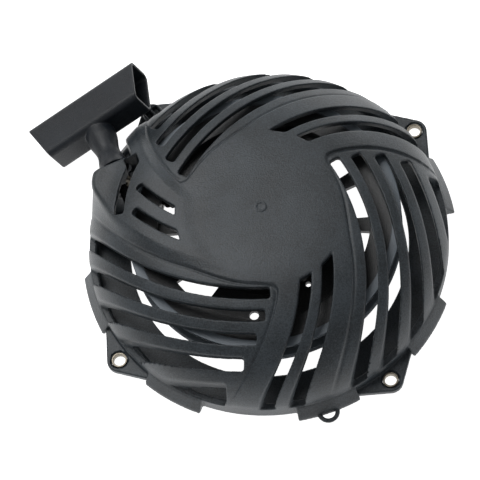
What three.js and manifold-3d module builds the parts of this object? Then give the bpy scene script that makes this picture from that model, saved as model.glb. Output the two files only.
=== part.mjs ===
// Recoil starter of a small vertical-shaft engine: a slotted dome cover that carries a rope
// pulley, its recoil spring, a pair of pawls and a pull handle.
// Millimetres, +Z up along the shaft axis, origin in the centre of the mounting plane.
import * as THREE from "three";
import { mergeVertices } from "three/addons/utils/BufferGeometryUtils.js";
import Module from "manifold-3d";

// ---- driving dimensions -------------------------------------------------------------------
const COVER_RADIUS = 100.3; // outside of the rim
const COVER_HEIGHT = 55; // mounting plane to the top of the crown
const SHOULDER_HEIGHT = 13; // where the crown meets the upright rim
const CROWN_POWER = 3.3; // how long the crown stays flat before it turns down
const SHOULDER_POWER = 1.6; // how round the shoulder is
const COVER_WALL = 4;
const BASE_RING_INNER = 78; // inward lip that rests on the engine's blower housing
const BASE_RING_THICKNESS = 2.5;
const COVER_SEGMENTS = 40;
const PIP_RADIUS = 2.6; // low round mark in the middle of the crown
const PIP_HEIGHT = 0.3;

const SECTORS = 3; // the slot pattern repeats every third of a turn
const SLOT_CENTRE_DISTANCE = 76.2; // common centre of one sector's slot arcs, from the axis
const SLOT_CENTRE_ANGLE = 216.5; // degrees
const FIRST_SLOT_RADIUS = 121.9; // inner edge of a sector's longest slot
const SLOT_PITCH = 11.7;
const SLOT_WIDTH = 6.1;
const MAIN_SLOTS = [0, 1, 2, 3, 4]; // places of the slots in pitches from the longest
const SIDE_SLOTS = [-2, -3]; // the pair on the far side of the broad arm
const SHORT_SLOT_WIDTH = 4.4; // side slots beside the rope duct
const SLOT_FLOOR = 10; // slots stop this far above the mounting plane
const SLOT_INNER_RADIUS = 47; // plain disc in the middle of the crown
const SIDE_SLOT_START = 40; // inside the disc, which cuts the side slots off along its edge
const SLOT_END_RADIUS = 71.3; // ends of the main slots, about the next sector's centre
const SHORT_SLOT_REACH = 69; // side slots that stop short of the rope duct
const DUCT_SECTOR = 2; // sector whose side slots are the short ones
const PANEL_DEPTH = 0.9; // main slots lie in a slightly sunken panel
const PANEL_MARGIN = 7; // panel edge to the longest slot
const PANEL_END_MARGIN = 4.5; // panel edge to the slot ends
const PANEL_INNER_RADIUS = 43;
const HANDLE_SECTOR = 1; // sector whose main slots end beside the handle
const HANDLE_SIDE_CENTRE = [9, 76.9]; // centre of the circle on which those slots end
const HANDLE_SIDE_END_RADIUS = 80.7;
const ARM_RISE = 3; // how much higher the arm in front of the duct lies at its outer end
const ARM_INNER_RADIUS = 35;
const ARM_OUTER_RADIUS = 85;

const EAR_HOLE_SPACING = 150; // square bolt pattern
const EAR_RADIUS = 7;
const EAR_THICKNESS = 4;
const EAR_HALF_ANGLE = 10.5; // degrees, width of the flat ear where it leaves the rim
const WING_HEIGHT = 9; // raised strips on both sides of each ear
const WING_EDGE_HEIGHT = 1.8; // they slope down to this height at their outer edge
const WING_PROUD = 5;
const WING_HALF_ANGLE = 30; // degrees
const SOCKET_EAR_ANGLE = 135; // the ear beside the handle is closed at the top
const SOCKET_LUG_RADIUS = 5.6;
const SLEEVE_OUTER_RADIUS = 4.3;
const SLEEVE_BORE_RADIUS = 3.3; // clears an M6 bolt
const SLEEVE_RECESS_RADIUS = 5.1;
const SLEEVE_RECESS_DEPTH = 0.8;

const ROPE_RADIUS = 2.25;
const ROPE_LINE_RADIUS = 65; // rope centre line where it leaves the pulley
const ROPE_HEIGHT = 30;
const OUTLET_ANGLE = 117; // degrees, direction in which the rope leaves
const OUTLET_DISTANCE = 66; // tangent point to the mouth of the duct
const DUCT_ACROSS = [-15.4, 10]; // sides of the duct, measured from the rope
const DUCT_LENGTH = 36;
const DUCT_LOW = 16;
const DUCT_HIGH = 41.5;
const DUCT_CORNER = 7.5;
const CHANNEL_WIDTH = 9; // passage of the rope inside the duct
const CHANNEL_HEIGHT = 15;
const CHANNEL_CORNER = 3;
const CHANNEL_LENGTH = 50;
const THROAT_RADIUS = 4;
const CUP_RADIUS = 8.9; // takes the plug at the end of the handle's stem
const CUP_DEPTH = 8.5;
const MOUTH_SETBACK = 2.6; // face of the duct behind the origin of the rope frame
const EYELET_OUTER = 6.4;
const EYELET_BORE = 3.1;
const EYELET_LENGTH = 4;
const EYELET_PLAY = 0.15;
const POCKET_HALF_WIDTH = 11.5; // hollow in front of the duct, where the handle's stem sits
const POCKET_OUTER_REACH = 8; // how much further it opens on the side away from the axis
const POCKET_FLOOR = 8;
const POCKET_LENGTH = 26;
const WINDOW_LOW = 24; // opening in the crown over the rope, beside the duct
const WINDOW_RADII = [76, 81.5];
const WINDOW_ANGLES = [157.5, 184]; // degrees
const WINDOW_MOUTH_ACROSS = [5.9, 13.5]; // its wide end beside the eyelet, in the rope frame
const WINDOW_MOUTH_ALONG = [-11.5, -3.5];

const LOOP_ANGLE = 294.2; // degrees, small wire loop that sticks out from under one strip
const LOOP_RADII = [3.8, 6.2];
const LOOP_THICKNESS = 2.5;
const LOOP_SINK = 0.8;

const POST_JOURNAL_RADIUS = 8;
const POST_BOSS_RADIUS = 11;
const POST_BORE_RADIUS = 5.1;
const POST_BORE_DEPTH = 20;
const POST_END = 10.4;
const POST_SHOULDER = 34;
const RUNNING_GAP = 0.1; // radial play of the pulley on its post
const GAP = 0.3; // between pieces that rest on each other
const SHAFT_SEGMENTS = 36;

const PULLEY_RADIUS = 75.5;
const GROOVE_RADIUS = 60.5;
const GROOVE_LOW = 25;
const GROOVE_HIGH = 35;
const FLANGE_THICKNESS = 1.6;
const RIM_WIDTH = 5; // raised rim of the upper flange
const RIM_RISE = 0.8;
const LIP_WIDTH = 2; // the lower flange is turned down at its edge
const LIP_LOW = 19.4;
const SPRING_CASE_RADIUS = 38.5; // inside of the pulley's spring pocket
const SPRING_CASE_WALL = 2;
const SPRING_FLOOR = 31;
const SPRING_CASE_TOP = 46.5;
const WEB_LOW = 26; // the web with the windows, between spring case and groove
const WEB_HIGH = 29;
const GROOVE_WALL = 1.9;
const HUB_RADIUS = 13;
const WINDOW_RING = [41.5, 58.2]; // inner and outer radius of the windows in the web
const WINDOW_CENTRES = [350, 20, 50, 170, 200, 230]; // degrees, two opposite groups of three
const WINDOW_SPAN = 21.4; // degrees
const WEB_HOLES = [
  { distance: 53, angle: 270, radius: 2.6 },
  { distance: 42.8, angle: 310, radius: 1.5 },
]; // small holes in the plain stretches of the web, each with its twin across the axis
const SPRING_TURNS = 5;
const SPRING_THICKNESS = 0.7;
const SPRING_INNER_RADIUS = 14.3;
const SPRING_CLEARANCE = 1.2;
const KNOT_HEIGHT = 31.4; // knot that anchors the rope inside the groove's wall
const KNOT_ANGLE = 170; // degrees, middle of a window
const KNOT_RADIUS = 3.6;
const KNOT_HOLE_RADIUS = 2.7;

const PAWLS = 2;
const PAWL_PIVOT_RADIUS = 24;
const PAWL_FIRST_ANGLE = 30; // degrees
const PAWL_PIN_RADIUS = 3;
const PAWL_LOW = 15.9;
const PAWL_HIGH = 20;
const CARRIER_FACE = 22; // underside of the pulley over the pawls
const CARRIER_RADIUS = 38;
const PIN_END = 13.4;
const PAWL_HEAD_RADIUS = 5.6;
const PAWL_NOSE = 23; // pivot to the tip
const PAWL_BACK = -3.5;
const PAWL_FRONT = 4.4;
const COIL_RADIUS = 4.1; // wire spring round the pawl's pin
const COIL_WIRE_RADIUS = 0.5;
const COIL_LEG = 12;
const PLATE_RADIUS = 28; // the plate that throws the pawls out
const PLATE_LOW = 10.6;
const PLATE_HIGH = 13;
const PEG_RADIUS = 1.5;
const PEG_DISTANCE = 24.5;
const PEG_LAG = 42; // degrees behind the pawl's pivot
const FRICTION_RING_RADIUS = 16;
const FRICTION_WIRE_RADIUS = 0.7;
const FRICTION_HEIGHT = 14;

const INSERT_LENGTH = 18; // threaded insert in the post
const INSERT_RADII = [3.2, 4.95];
const WASHER_RADII = [3.4, 10];
const WASHER_THICKNESS = 1.4;
const SCREW_FLANGE_RADIUS = 7.5;
const SCREW_FLANGE_THICKNESS = 1.2;
const SCREW_HEAD_RADIUS = 5.8;
const SCREW_HEAD_HEIGHT = 4.6;
const SCREW_SHANK_RADIUS = 2.9;
const SCREW_SHANK_LENGTH = 17;

const HANDLE_YAW = 28.05; // degrees, pull direction turned from +Y
const HANDLE_DROOP = -12; // degrees, the handle hangs a little in its seat
const HANDLE_ROLL = -18.5; // degrees
const STEM_LENGTH = 26;
const STEM_MOUTH_RADIUS = 8.2;
const STEM_WAIST_RADIUS = 6.6;
const STEM_WAIST_PLACE = 10;
const STEM_COLLAR_RADIUS = 8.6;
const STEM_BORE_RADIUS = 2.8;
const PLUG_RADIUS = 6.1; // end of the stem that sits in the duct's cup
const PLUG_LENGTH = 2;
const GRIP_DEPTH = 24.8; // along the rope
const GRIP_HEIGHT = 19.6;
const GRIP_LONG_SIDE = 72.8; // side away from the cover
const GRIP_SHORT_SIDE = 60.1; // side with the stem
const GRIP_CORNER = 4;
const GRIP_WALL = 1.8;
const DISC_RADII = [2.7, 6.5]; // metal disc under the knot in the grip
const DISC_THICKNESS = 1.5;
const GRIP_KNOT_RADIUS = 4.2;

// ---- colours and finishes -----------------------------------------------------------------
const FINISH = {
  coverPlastic: { color: 0x36393c, roughness: 0.62, metalness: 0 },
  gripPlastic: { color: 0x2f3033, roughness: 0.5, metalness: 0 },
  pulleyPlastic: { color: 0x1c1d1f, roughness: 0.45, metalness: 0 },
  rope: { color: 0x1a1a1b, roughness: 0.9, metalness: 0 },
  springSteel: { color: 0x5b5146, roughness: 0.35, metalness: 1 },
  zincSteel: { color: 0xa59f92, roughness: 0.38, metalness: 1 },
  brass: { color: 0xb08d4a, roughness: 0.35, metalness: 1 },
};

const radians = THREE.MathUtils.degToRad;
const wasm = await Module();
wasm.setup();

// ---- solids -------------------------------------------------------------------------------
// A three.js geometry as a solid for joining and cutting.
function toSolid(geometry) {
  const bare = geometry.clone();
  bare.deleteAttribute("normal");
  bare.deleteAttribute("uv");
  const merged = mergeVertices(bare, 1e-3);
  const corners = merged.index.array;
  const triangles = [];
  for (let i = 0; i < corners.length; i += 3) {
    const [a, b, c] = corners.slice(i, i + 3);
    if (a !== b && b !== c && c !== a) triangles.push(a, b, c);
  }
  const mesh = new wasm.Mesh({
    numProp: 3,
    vertProperties: new Float32Array(merged.attributes.position.array),
    triVerts: new Uint32Array(triangles),
  });
  return new wasm.Manifold(mesh);
}

// The geometry of a solid, ready for a mesh.
function toGeometry(solid) {
  const mesh = solid.getMesh();
  const geometry = new THREE.BufferGeometry();
  geometry.setAttribute("position", new THREE.BufferAttribute(mesh.vertProperties, 3));
  geometry.setIndex(new THREE.BufferAttribute(mesh.triVerts, 1));
  return geometry;
}

function join(...solids) {
  return solids.reduce((whole, solid) => whole.add(solid));
}

// A body of revolution about Z; the profile runs counter-clockwise in (radius, height).
function lathe(profile, segments) {
  const points = profile.map(([radius, height]) => new THREE.Vector2(radius, height));
  const geometry = new THREE.LatheGeometry(points, segments);
  geometry.rotateX(Math.PI / 2);
  return toSolid(geometry);
}

// A ring of rectangular section about Z.
function ring(inner, outer, low, high, segments = SHAFT_SEGMENTS) {
  const profile = [[inner, low], [outer, low], [outer, high], [inner, high], [inner, low]];
  return lathe(profile, segments);
}

// A plain round bar or hole about a vertical line through (x, y).
function bar(radius, low, high, x = 0, y = 0, segments = SHAFT_SEGMENTS) {
  const geometry = new THREE.CylinderGeometry(radius, radius, high - low, segments);
  geometry.rotateX(Math.PI / 2);
  geometry.translate(x, y, (low + high) / 2);
  return toSolid(geometry);
}

// A flat outline pushed up from one height to another.
function prism(shape, low, high, curveSegments = 10) {
  const settings = { depth: high - low, bevelEnabled: false, curveSegments };
  const geometry = new THREE.ExtrudeGeometry(shape, settings);
  geometry.translate(0, 0, low);
  return toSolid(geometry);
}

// Part of a flat ring between two radii and two angles in degrees.
function ringSector(centre, inner, outer, start, end) {
  const shape = new THREE.Shape();
  shape.absarc(centre.x, centre.y, outer, radians(start), radians(end), false);
  shape.absarc(centre.x, centre.y, inner, radians(end), radians(start), true);
  shape.closePath();
  return shape;
}

function roundedRectangle(width, height, corner) {
  const shape = new THREE.Shape();
  const x = width / 2 - corner;
  const y = height / 2 - corner;
  shape.absarc(x, -y, corner, -Math.PI / 2, 0, false);
  shape.absarc(x, y, corner, 0, Math.PI / 2, false);
  shape.absarc(-x, y, corner, Math.PI / 2, Math.PI, false);
  shape.absarc(-x, -y, corner, Math.PI, Math.PI * 1.5, false);
  shape.closePath();
  return shape;
}

// A round cord or wire along a curve.
function cord(curve, radius, sides, steps) {
  const section = new THREE.Shape();
  section.absarc(0, 0, radius, 0, Math.PI * 2, false);
  const settings = { extrudePath: curve, steps, curveSegments: sides, bevelEnabled: false };
  return toSolid(new THREE.ExtrudeGeometry(section, settings));
}

function placed(solid, matrix) {
  const geometry = toGeometry(solid);
  geometry.applyMatrix4(matrix);
  return toSolid(geometry);
}

function turned(solid, degrees) {
  return placed(solid, new THREE.Matrix4().makeRotationZ(radians(degrees)));
}

function polar(radius, degrees) {
  const angle = radians(degrees);
  return new THREE.Vector2(radius * Math.cos(angle), radius * Math.sin(angle));
}

// The direction in degrees, seen from one circle's centre, of its crossing with another circle.
function crossingAngle(centre, radius, other, otherRadius, side) {
  const apart = other.clone().sub(centre);
  const distance = apart.length();
  const cosine = (radius ** 2 + distance ** 2 - otherRadius ** 2) / (2 * radius * distance);
  return THREE.MathUtils.radToDeg(apart.angle() + side * Math.acos(cosine));
}

// ---- cover --------------------------------------------------------------------------------
const axisPoint = new THREE.Vector2(0, 0);
const slotCentre = polar(SLOT_CENTRE_DISTANCE, SLOT_CENTRE_ANGLE);
const nextCentre = polar(SLOT_CENTRE_DISTANCE, SLOT_CENTRE_ANGLE + 360 / SECTORS);
const wellOutside = COVER_RADIUS + 5;
const wellAbove = COVER_HEIGHT + 5;

// The crown's curve from the rim up to the axis, a given distance inside the outer skin.
function crownCurve(inset) {
  const rim = COVER_RADIUS - inset;
  const rise = COVER_HEIGHT - inset - SHOULDER_HEIGHT;
  const steps = 7;
  const points = [];
  for (let i = 0; i <= steps; i += 1) {
    const ratio = Math.cos((Math.PI / 2) * (i / steps));
    const fall = (1 - ratio ** CROWN_POWER) ** (1 / SHOULDER_POWER);
    points.push([i === steps ? 0 : rim * ratio, SHOULDER_HEIGHT + rise * fall]);
  }
  return points;
}

function coverShell() {
  const inside = crownCurve(COVER_WALL).reverse();
  const rimInner = COVER_RADIUS - COVER_WALL;
  const profile = [
    ...inside,
    [rimInner, BASE_RING_THICKNESS],
    [BASE_RING_INNER, BASE_RING_THICKNESS],
    [BASE_RING_INNER, 0],
    [COVER_RADIUS, 0],
    ...crownCurve(0),
  ];
  return lathe(profile, COVER_SEGMENTS);
}

// The circle on which the main slots of a sector end, in the first sector's place.
function slotEndCircle(sector) {
  if (sector !== HANDLE_SECTOR) return { centre: nextCentre, radius: SLOT_END_RADIUS };
  const turn = radians((-360 / SECTORS) * sector);
  const centre = new THREE.Vector2(...HANDLE_SIDE_CENTRE).rotateAround(axisPoint, turn);
  return { centre, radius: HANDLE_SIDE_END_RADIUS };
}

// A tall round bar about any vertical line, for marking off a region of the crown.
function column(centre, radius) {
  return bar(radius, SLOT_FLOOR - 1, wellAbove + 1, centre.x, centre.y, 72);
}

// A slot of the first sector, cut straight down through crown and rim.
function slotCut(place, width, start, reach) {
  const inner = FIRST_SLOT_RADIUS + place * SLOT_PITCH;
  const end = crossingAngle(slotCentre, inner + width / 2, axisPoint, reach, -1);
  const outline = ringSector(slotCentre, inner, inner + width, end, start);
  return prism(outline, SLOT_FLOOR, wellAbove, 5);
}

function sectorSlots(sector) {
  const beside = sector === DUCT_SECTOR;
  const { centre, radius } = slotEndCircle(sector);
  const mains = MAIN_SLOTS.map((place) => {
    const middle = FIRST_SLOT_RADIUS + place * SLOT_PITCH + SLOT_WIDTH / 2;
    const start = crossingAngle(slotCentre, middle, centre, radius, 1);
    return slotCut(place, SLOT_WIDTH, start, wellOutside);
  });
  const width = beside ? SHORT_SLOT_WIDTH : SLOT_WIDTH;
  const sides = SIDE_SLOTS.map((place) => {
    const middle = FIRST_SLOT_RADIUS + place * SLOT_PITCH + width / 2;
    const start = crossingAngle(slotCentre, middle, axisPoint, SIDE_SLOT_START, -1);
    return slotCut(place, width, start, beside ? SHORT_SLOT_REACH : wellOutside);
  });
  const beyondDisc = join(...sides).subtract(column(axisPoint, SLOT_INNER_RADIUS));
  return turned(join(...mains, beyondDisc), (360 / SECTORS) * sector);
}

// What is shaved off a sector's panel, down to a crown that lies a little deeper.
function panelCut(sector) {
  const ends = slotEndCircle(sector);
  const near = column(ends.centre, ends.radius + PANEL_END_MARGIN);
  const arm = column(slotCentre, FIRST_SLOT_RADIUS - PANEL_MARGIN);
  const region = near.subtract(arm).subtract(column(axisPoint, PANEL_INNER_RADIUS));
  const lowered = [[0, 0], [COVER_RADIUS - PANEL_DEPTH, 0], ...crownCurve(PANEL_DEPTH)];
  return turned(region, (360 / SECTORS) * sector).subtract(lathe(lowered, COVER_SEGMENTS));
}

// The arm in front of the duct climbs a little above the crown towards the rim.
function armRise() {
  const lifted = crownCurve(0).map(([radius, height]) => {
    const share = THREE.MathUtils.smoothstep(radius, ARM_INNER_RADIUS, ARM_OUTER_RADIUS);
    return [radius, height + ARM_RISE * share];
  });
  const base = SHOULDER_HEIGHT + 2;
  const cap = lathe([[0, base], [COVER_RADIUS, base], ...lifted], COVER_SEGMENTS);
  const ductCentre = polar(SLOT_CENTRE_DISTANCE, SLOT_CENTRE_ANGLE + (360 / SECTORS) * DUCT_SECTOR);
  const handleSide = new THREE.Vector2(...HANDLE_SIDE_CENTRE);
  const region = column(ductCentre, FIRST_SLOT_RADIUS - PANEL_MARGIN - 3)
    .subtract(column(handleSide, HANDLE_SIDE_END_RADIUS + PANEL_END_MARGIN + 3))
    .subtract(column(axisPoint, ARM_INNER_RADIUS));
  const ductHalf = new THREE.BoxGeometry(COVER_RADIUS, 2 * COVER_RADIUS, 2 * wellAbove);
  ductHalf.translate(-COVER_RADIUS / 2, 0, 0);
  const inside = lathe([[0, 0], ...crownCurve(COVER_WALL - 0.5)], COVER_SEGMENTS);
  return cap.intersect(region).intersect(toSolid(ductHalf)).subtract(inside);
}

// Frame of the rope line: X across it towards the axis, Y along it outwards, origin at the mouth.
const ropeTangent = polar(ROPE_LINE_RADIUS, OUTLET_ANGLE + 90);
const mouth = ropeTangent.clone().add(polar(OUTLET_DISTANCE, OUTLET_ANGLE));
const ropeFrame = new THREE.Matrix4()
  .makeTranslation(mouth.x, mouth.y, ROPE_HEIGHT)
  .multiply(new THREE.Matrix4().makeRotationZ(radians(OUTLET_ANGLE - 90)));

// A bar of any outline along the rope line, between two distances from the mouth.
function alongRope(shape, from, to, lift = 0, curveSegments = 6, across = 0) {
  const geometry = toGeometry(prism(shape, from, to, curveSegments));
  geometry.rotateX(-Math.PI / 2);
  geometry.translate(across, 0, lift);
  geometry.applyMatrix4(ropeFrame);
  return toSolid(geometry);
}

const pulleyRoom = PULLEY_RADIUS + 3;
const ductMiddle = (DUCT_LOW + DUCT_HIGH) / 2 - ROPE_HEIGHT;

function ductOutside() {
  const [outer, inner] = DUCT_ACROSS;
  const section = roundedRectangle(inner - outer, DUCT_HIGH - DUCT_LOW, DUCT_CORNER);
  const block = alongRope(section, -DUCT_LENGTH, 0, ductMiddle, 6, (inner + outer) / 2);
  return block.subtract(bar(pulleyRoom, 0, SPRING_CASE_TOP));
}

// A box in the rope frame: across, along and up from the mounting plane.
function ropeBox(across, along, up) {
  const [x0, x1] = across;
  const [y0, y1] = along;
  const [z0, z1] = up;
  const geometry = new THREE.BoxGeometry(x1 - x0, y1 - y0, z1 - z0);
  geometry.translate((x0 + x1) / 2, (y0 + y1) / 2, (z0 + z1) / 2 - ROPE_HEIGHT);
  geometry.applyMatrix4(ropeFrame);
  return toSolid(geometry);
}

// Walls and floor of the pocket in front of the duct.
function pocketWalls() {
  const side = POCKET_HALF_WIDTH + COVER_WALL;
  const low = POCKET_FLOOR - COVER_WALL;
  const along = [-MOUTH_SETBACK - COVER_WALL, POCKET_LENGTH];
  const block = ropeBox([-side, side], along, [low, COVER_HEIGHT]);
  const inside = lathe([[0, 0], [COVER_RADIUS, 0], ...crownCurve(0)], COVER_SEGMENTS);
  return block.intersect(inside).subtract(bar(pulleyRoom, 0, SPRING_CASE_TOP));
}

function pocketHollow() {
  const across = [-POCKET_HALF_WIDTH - POCKET_OUTER_REACH, POCKET_HALF_WIDTH];
  return ropeBox(across, [-MOUTH_SETBACK, POCKET_LENGTH + 10], [POCKET_FLOOR, wellAbove]);
}

function roundSection(radius) {
  const shape = new THREE.Shape();
  shape.absarc(0, 0, radius, 0, Math.PI * 2, false);
  return shape;
}

// The hollow of the duct: a wide channel, the eyelet's seat and the cup that takes the stem.
function ductHollow() {
  const seatEnd = -CUP_DEPTH;
  const seatStart = seatEnd - EYELET_LENGTH;
  const passage = roundedRectangle(CHANNEL_WIDTH, CHANNEL_HEIGHT, CHANNEL_CORNER);
  const channel = alongRope(passage, -CHANNEL_LENGTH, seatStart - 2);
  const throat = alongRope(roundSection(THROAT_RADIUS), seatStart - 3, seatStart + 1);
  const seat = alongRope(roundSection(EYELET_OUTER + EYELET_PLAY), seatStart, seatEnd + 1, 0, 24);
  const cup = alongRope(roundSection(CUP_RADIUS), seatEnd, 1 - MOUTH_SETBACK, 0, 24);
  return join(channel, throat, seat, cup);
}

// Curved window over the rope, with a wide end beside the eyelet.
function ropeWindow() {
  const crescent = ringSector(axisPoint, ...WINDOW_RADII, ...WINDOW_ANGLES);
  const wide = ropeBox(WINDOW_MOUTH_ACROSS, WINDOW_MOUTH_ALONG, [WINDOW_LOW, wellAbove]);
  const clear = wide.subtract(bar(WINDOW_RADII[0], 0, wellAbove + 1, 0, 0, 72));
  return prism(crescent, WINDOW_LOW, wellAbove, 8).add(clear);
}

const cornerRadius = Math.hypot(EAR_HOLE_SPACING, EAR_HOLE_SPACING) / 2;
const cornerAngles = [225, 315, 45, 135];
const underRim = COVER_RADIUS - COVER_WALL / 2;

// One flat ear with the sloping strips beside it, at angle zero.
function ear() {
  const root = polar(COVER_RADIUS + 2, EAR_HALF_ANGLE);
  const anchor = polar(underRim - 1, EAR_HALF_ANGLE);
  const tip = Math.PI / 3;
  const outline = new THREE.Shape();
  outline.moveTo(anchor.x, -anchor.y);
  outline.lineTo(root.x, -root.y);
  outline.absarc(cornerRadius, 0, EAR_RADIUS, -tip, tip, false);
  outline.lineTo(root.x, root.y);
  outline.lineTo(anchor.x, anchor.y);
  outline.closePath();
  const edge = COVER_RADIUS + WING_PROUD;
  const ringProfile = [
    [underRim, 0],
    [edge, 0],
    [edge, WING_EDGE_HEIGHT],
    [COVER_RADIUS + 0.5, WING_HEIGHT],
    [underRim, WING_HEIGHT],
    [underRim, 0],
  ];
  const strip = lathe(ringProfile, 72);
  const pieces = [prism(outline, 0, EAR_THICKNESS, 5)];
  for (const side of [-1, 1]) {
    const ends = [side * EAR_HALF_ANGLE, side * WING_HALF_ANGLE].sort((a, b) => a - b);
    const wedge = ringSector(axisPoint, underRim - 1, edge + 1, ...ends);
    pieces.push(strip.intersect(prism(wedge, 0, WING_HEIGHT, 6)));
  }
  return join(...pieces);
}

// The hole of an ear with the shallow recess round its sleeve.
function earHole() {
  const reach = SLEEVE_OUTER_RADIUS + EYELET_PLAY;
  const hole = bar(reach, -1, EAR_THICKNESS + 1, cornerRadius, 0, 24);
  const low = EAR_THICKNESS - SLEEVE_RECESS_DEPTH;
  return hole.add(bar(SLEEVE_RECESS_RADIUS, low, EAR_THICKNESS + 1, cornerRadius, 0, 24));
}

// The lug that closes one ear over its sleeve.
function socketLug() {
  const lug = bar(SOCKET_LUG_RADIUS, EAR_THICKNESS, WING_HEIGHT - 1, cornerRadius, 0, 24);
  const reach = new THREE.Shape();
  reach.moveTo(underRim, -SOCKET_LUG_RADIUS);
  reach.lineTo(cornerRadius, -SOCKET_LUG_RADIUS);
  reach.lineTo(cornerRadius, SOCKET_LUG_RADIUS);
  reach.lineTo(underRim, SOCKET_LUG_RADIUS);
  reach.closePath();
  return turned(lug.add(prism(reach, EAR_THICKNESS, WING_HEIGHT - 1)), SOCKET_EAR_ANGLE);
}

// Small wire loop that sticks out from under one strip.
function wireLoop() {
  const centre = polar(COVER_RADIUS + WING_PROUD - LOOP_SINK, LOOP_ANGLE);
  const outline = ringSector(centre, ...LOOP_RADII, LOOP_ANGLE - 90, LOOP_ANGLE + 90);
  return prism(outline, 0, LOOP_THICKNESS, 8);
}

function postBoss() {
  const top = COVER_HEIGHT - COVER_WALL + 1;
  const boreEnd = POST_END + POST_BORE_DEPTH;
  const profile = [
    [POST_BORE_RADIUS, POST_END],
    [POST_JOURNAL_RADIUS, POST_END],
    [POST_JOURNAL_RADIUS, POST_SHOULDER],
    [POST_BOSS_RADIUS, POST_SHOULDER],
    [POST_BOSS_RADIUS, top],
    [0, top],
    [0, boreEnd],
    [POST_BORE_RADIUS, boreEnd],
    [POST_BORE_RADIUS, POST_END],
  ];
  return lathe(profile, SHAFT_SEGMENTS);
}

function cover() {
  const sectors = [...Array(SECTORS).keys()];
  let body = coverShell();
  for (const sector of sectors) body = body.subtract(panelCut(sector));
  const ears = cornerAngles.map((angle) => turned(ear(), angle));
  body = join(body, armRise(), ductOutside(), pocketWalls(), ...ears, wireLoop());
  body = body.subtract(pocketHollow());
  for (const sector of sectors) body = body.subtract(sectorSlots(sector));
  for (const angle of cornerAngles) body = body.subtract(turned(earHole(), angle));
  const pip = bar(PIP_RADIUS, COVER_HEIGHT - 1, COVER_HEIGHT + PIP_HEIGHT, 0, 0, 12);
  return body.subtract(ductHollow()).subtract(ropeWindow()).add(join(postBoss(), pip, socketLug()));
}

function earSleeve() {
  return ring(SLEEVE_BORE_RADIUS, SLEEVE_OUTER_RADIUS, 0, EAR_THICKNESS - 0.2, 24);
}

function ropeEyelet() {
  const start = -CUP_DEPTH - EYELET_LENGTH + 0.2;
  const end = -CUP_DEPTH - 0.1;
  const hole = roundSection(EYELET_BORE);
  return alongRope(roundSection(EYELET_OUTER), start, end, 0, 20).subtract(
    alongRope(hole, start - 1, end + 1, 0, 20),
  );
}

// ---- pulley and what turns with it --------------------------------------------------------
function pulleyWindow(middle) {
  const from = middle - WINDOW_SPAN / 2;
  const outline = ringSector(axisPoint, ...WINDOW_RING, from, from + WINDOW_SPAN);
  return prism(outline, CARRIER_FACE, SPRING_FLOOR, 8);
}

function webHole({ distance, angle, radius }) {
  const { x, y } = polar(distance, angle);
  return bar(radius, WEB_LOW - 1, WEB_HIGH + 1, x, y, 16);
}

// The hole in the groove's wall that the rope's end goes through.
function ropeHole() {
  const geometry = new THREE.CylinderGeometry(KNOT_HOLE_RADIUS, KNOT_HOLE_RADIUS, 8, 12);
  geometry.rotateZ(Math.PI / 2);
  geometry.translate(GROOVE_RADIUS - 1, 0, KNOT_HEIGHT);
  return turned(toSolid(geometry), KNOT_ANGLE);
}

function pulley() {
  const bore = POST_JOURNAL_RADIUS + RUNNING_GAP;
  const caseOuter = SPRING_CASE_RADIUS + SPRING_CASE_WALL;
  const grooveInside = GROOVE_RADIUS - GROOVE_WALL;
  const low = GROOVE_LOW - FLANGE_THICKNESS;
  const high = GROOVE_HIGH + FLANGE_THICKNESS;
  const profile = [
    [bore, PIN_END],
    [HUB_RADIUS, PIN_END],
    [HUB_RADIUS, CARRIER_FACE],
    [CARRIER_RADIUS, CARRIER_FACE],
    [CARRIER_RADIUS, WEB_LOW],
    [grooveInside, WEB_LOW],
    [grooveInside, low],
    [PULLEY_RADIUS - LIP_WIDTH, low],
    [PULLEY_RADIUS - LIP_WIDTH, LIP_LOW],
    [PULLEY_RADIUS, LIP_LOW],
    [PULLEY_RADIUS, GROOVE_LOW],
    [GROOVE_RADIUS, GROOVE_LOW],
    [GROOVE_RADIUS, GROOVE_HIGH],
    [PULLEY_RADIUS, GROOVE_HIGH],
    [PULLEY_RADIUS, high + RIM_RISE],
    [PULLEY_RADIUS - RIM_WIDTH, high + RIM_RISE],
    [PULLEY_RADIUS - RIM_WIDTH, high],
    [grooveInside, high],
    [grooveInside, WEB_HIGH],
    [caseOuter, WEB_HIGH],
    [caseOuter, SPRING_CASE_TOP],
    [SPRING_CASE_RADIUS, SPRING_CASE_TOP],
    [SPRING_CASE_RADIUS, SPRING_FLOOR],
    [HUB_RADIUS, SPRING_FLOOR],
    [HUB_RADIUS, POST_SHOULDER - GAP],
    [bore, POST_SHOULDER - GAP],
    [bore, PIN_END],
  ];
  let body = lathe(profile, SHAFT_SEGMENTS);
  for (const middle of WINDOW_CENTRES) body = body.subtract(pulleyWindow(middle));
  for (const hole of WEB_HOLES) {
    body = body.subtract(webHole(hole)).subtract(turned(webHole(hole), 180));
  }
  for (let i = 0; i < PAWLS; i += 1) {
    const place = polar(PAWL_PIVOT_RADIUS, PAWL_FIRST_ANGLE + i * (360 / PAWLS));
    body = body.add(bar(PAWL_PIN_RADIUS, PIN_END, CARRIER_FACE + 1, place.x, place.y, 24));
  }
  return body.subtract(ropeHole());
}

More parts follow.
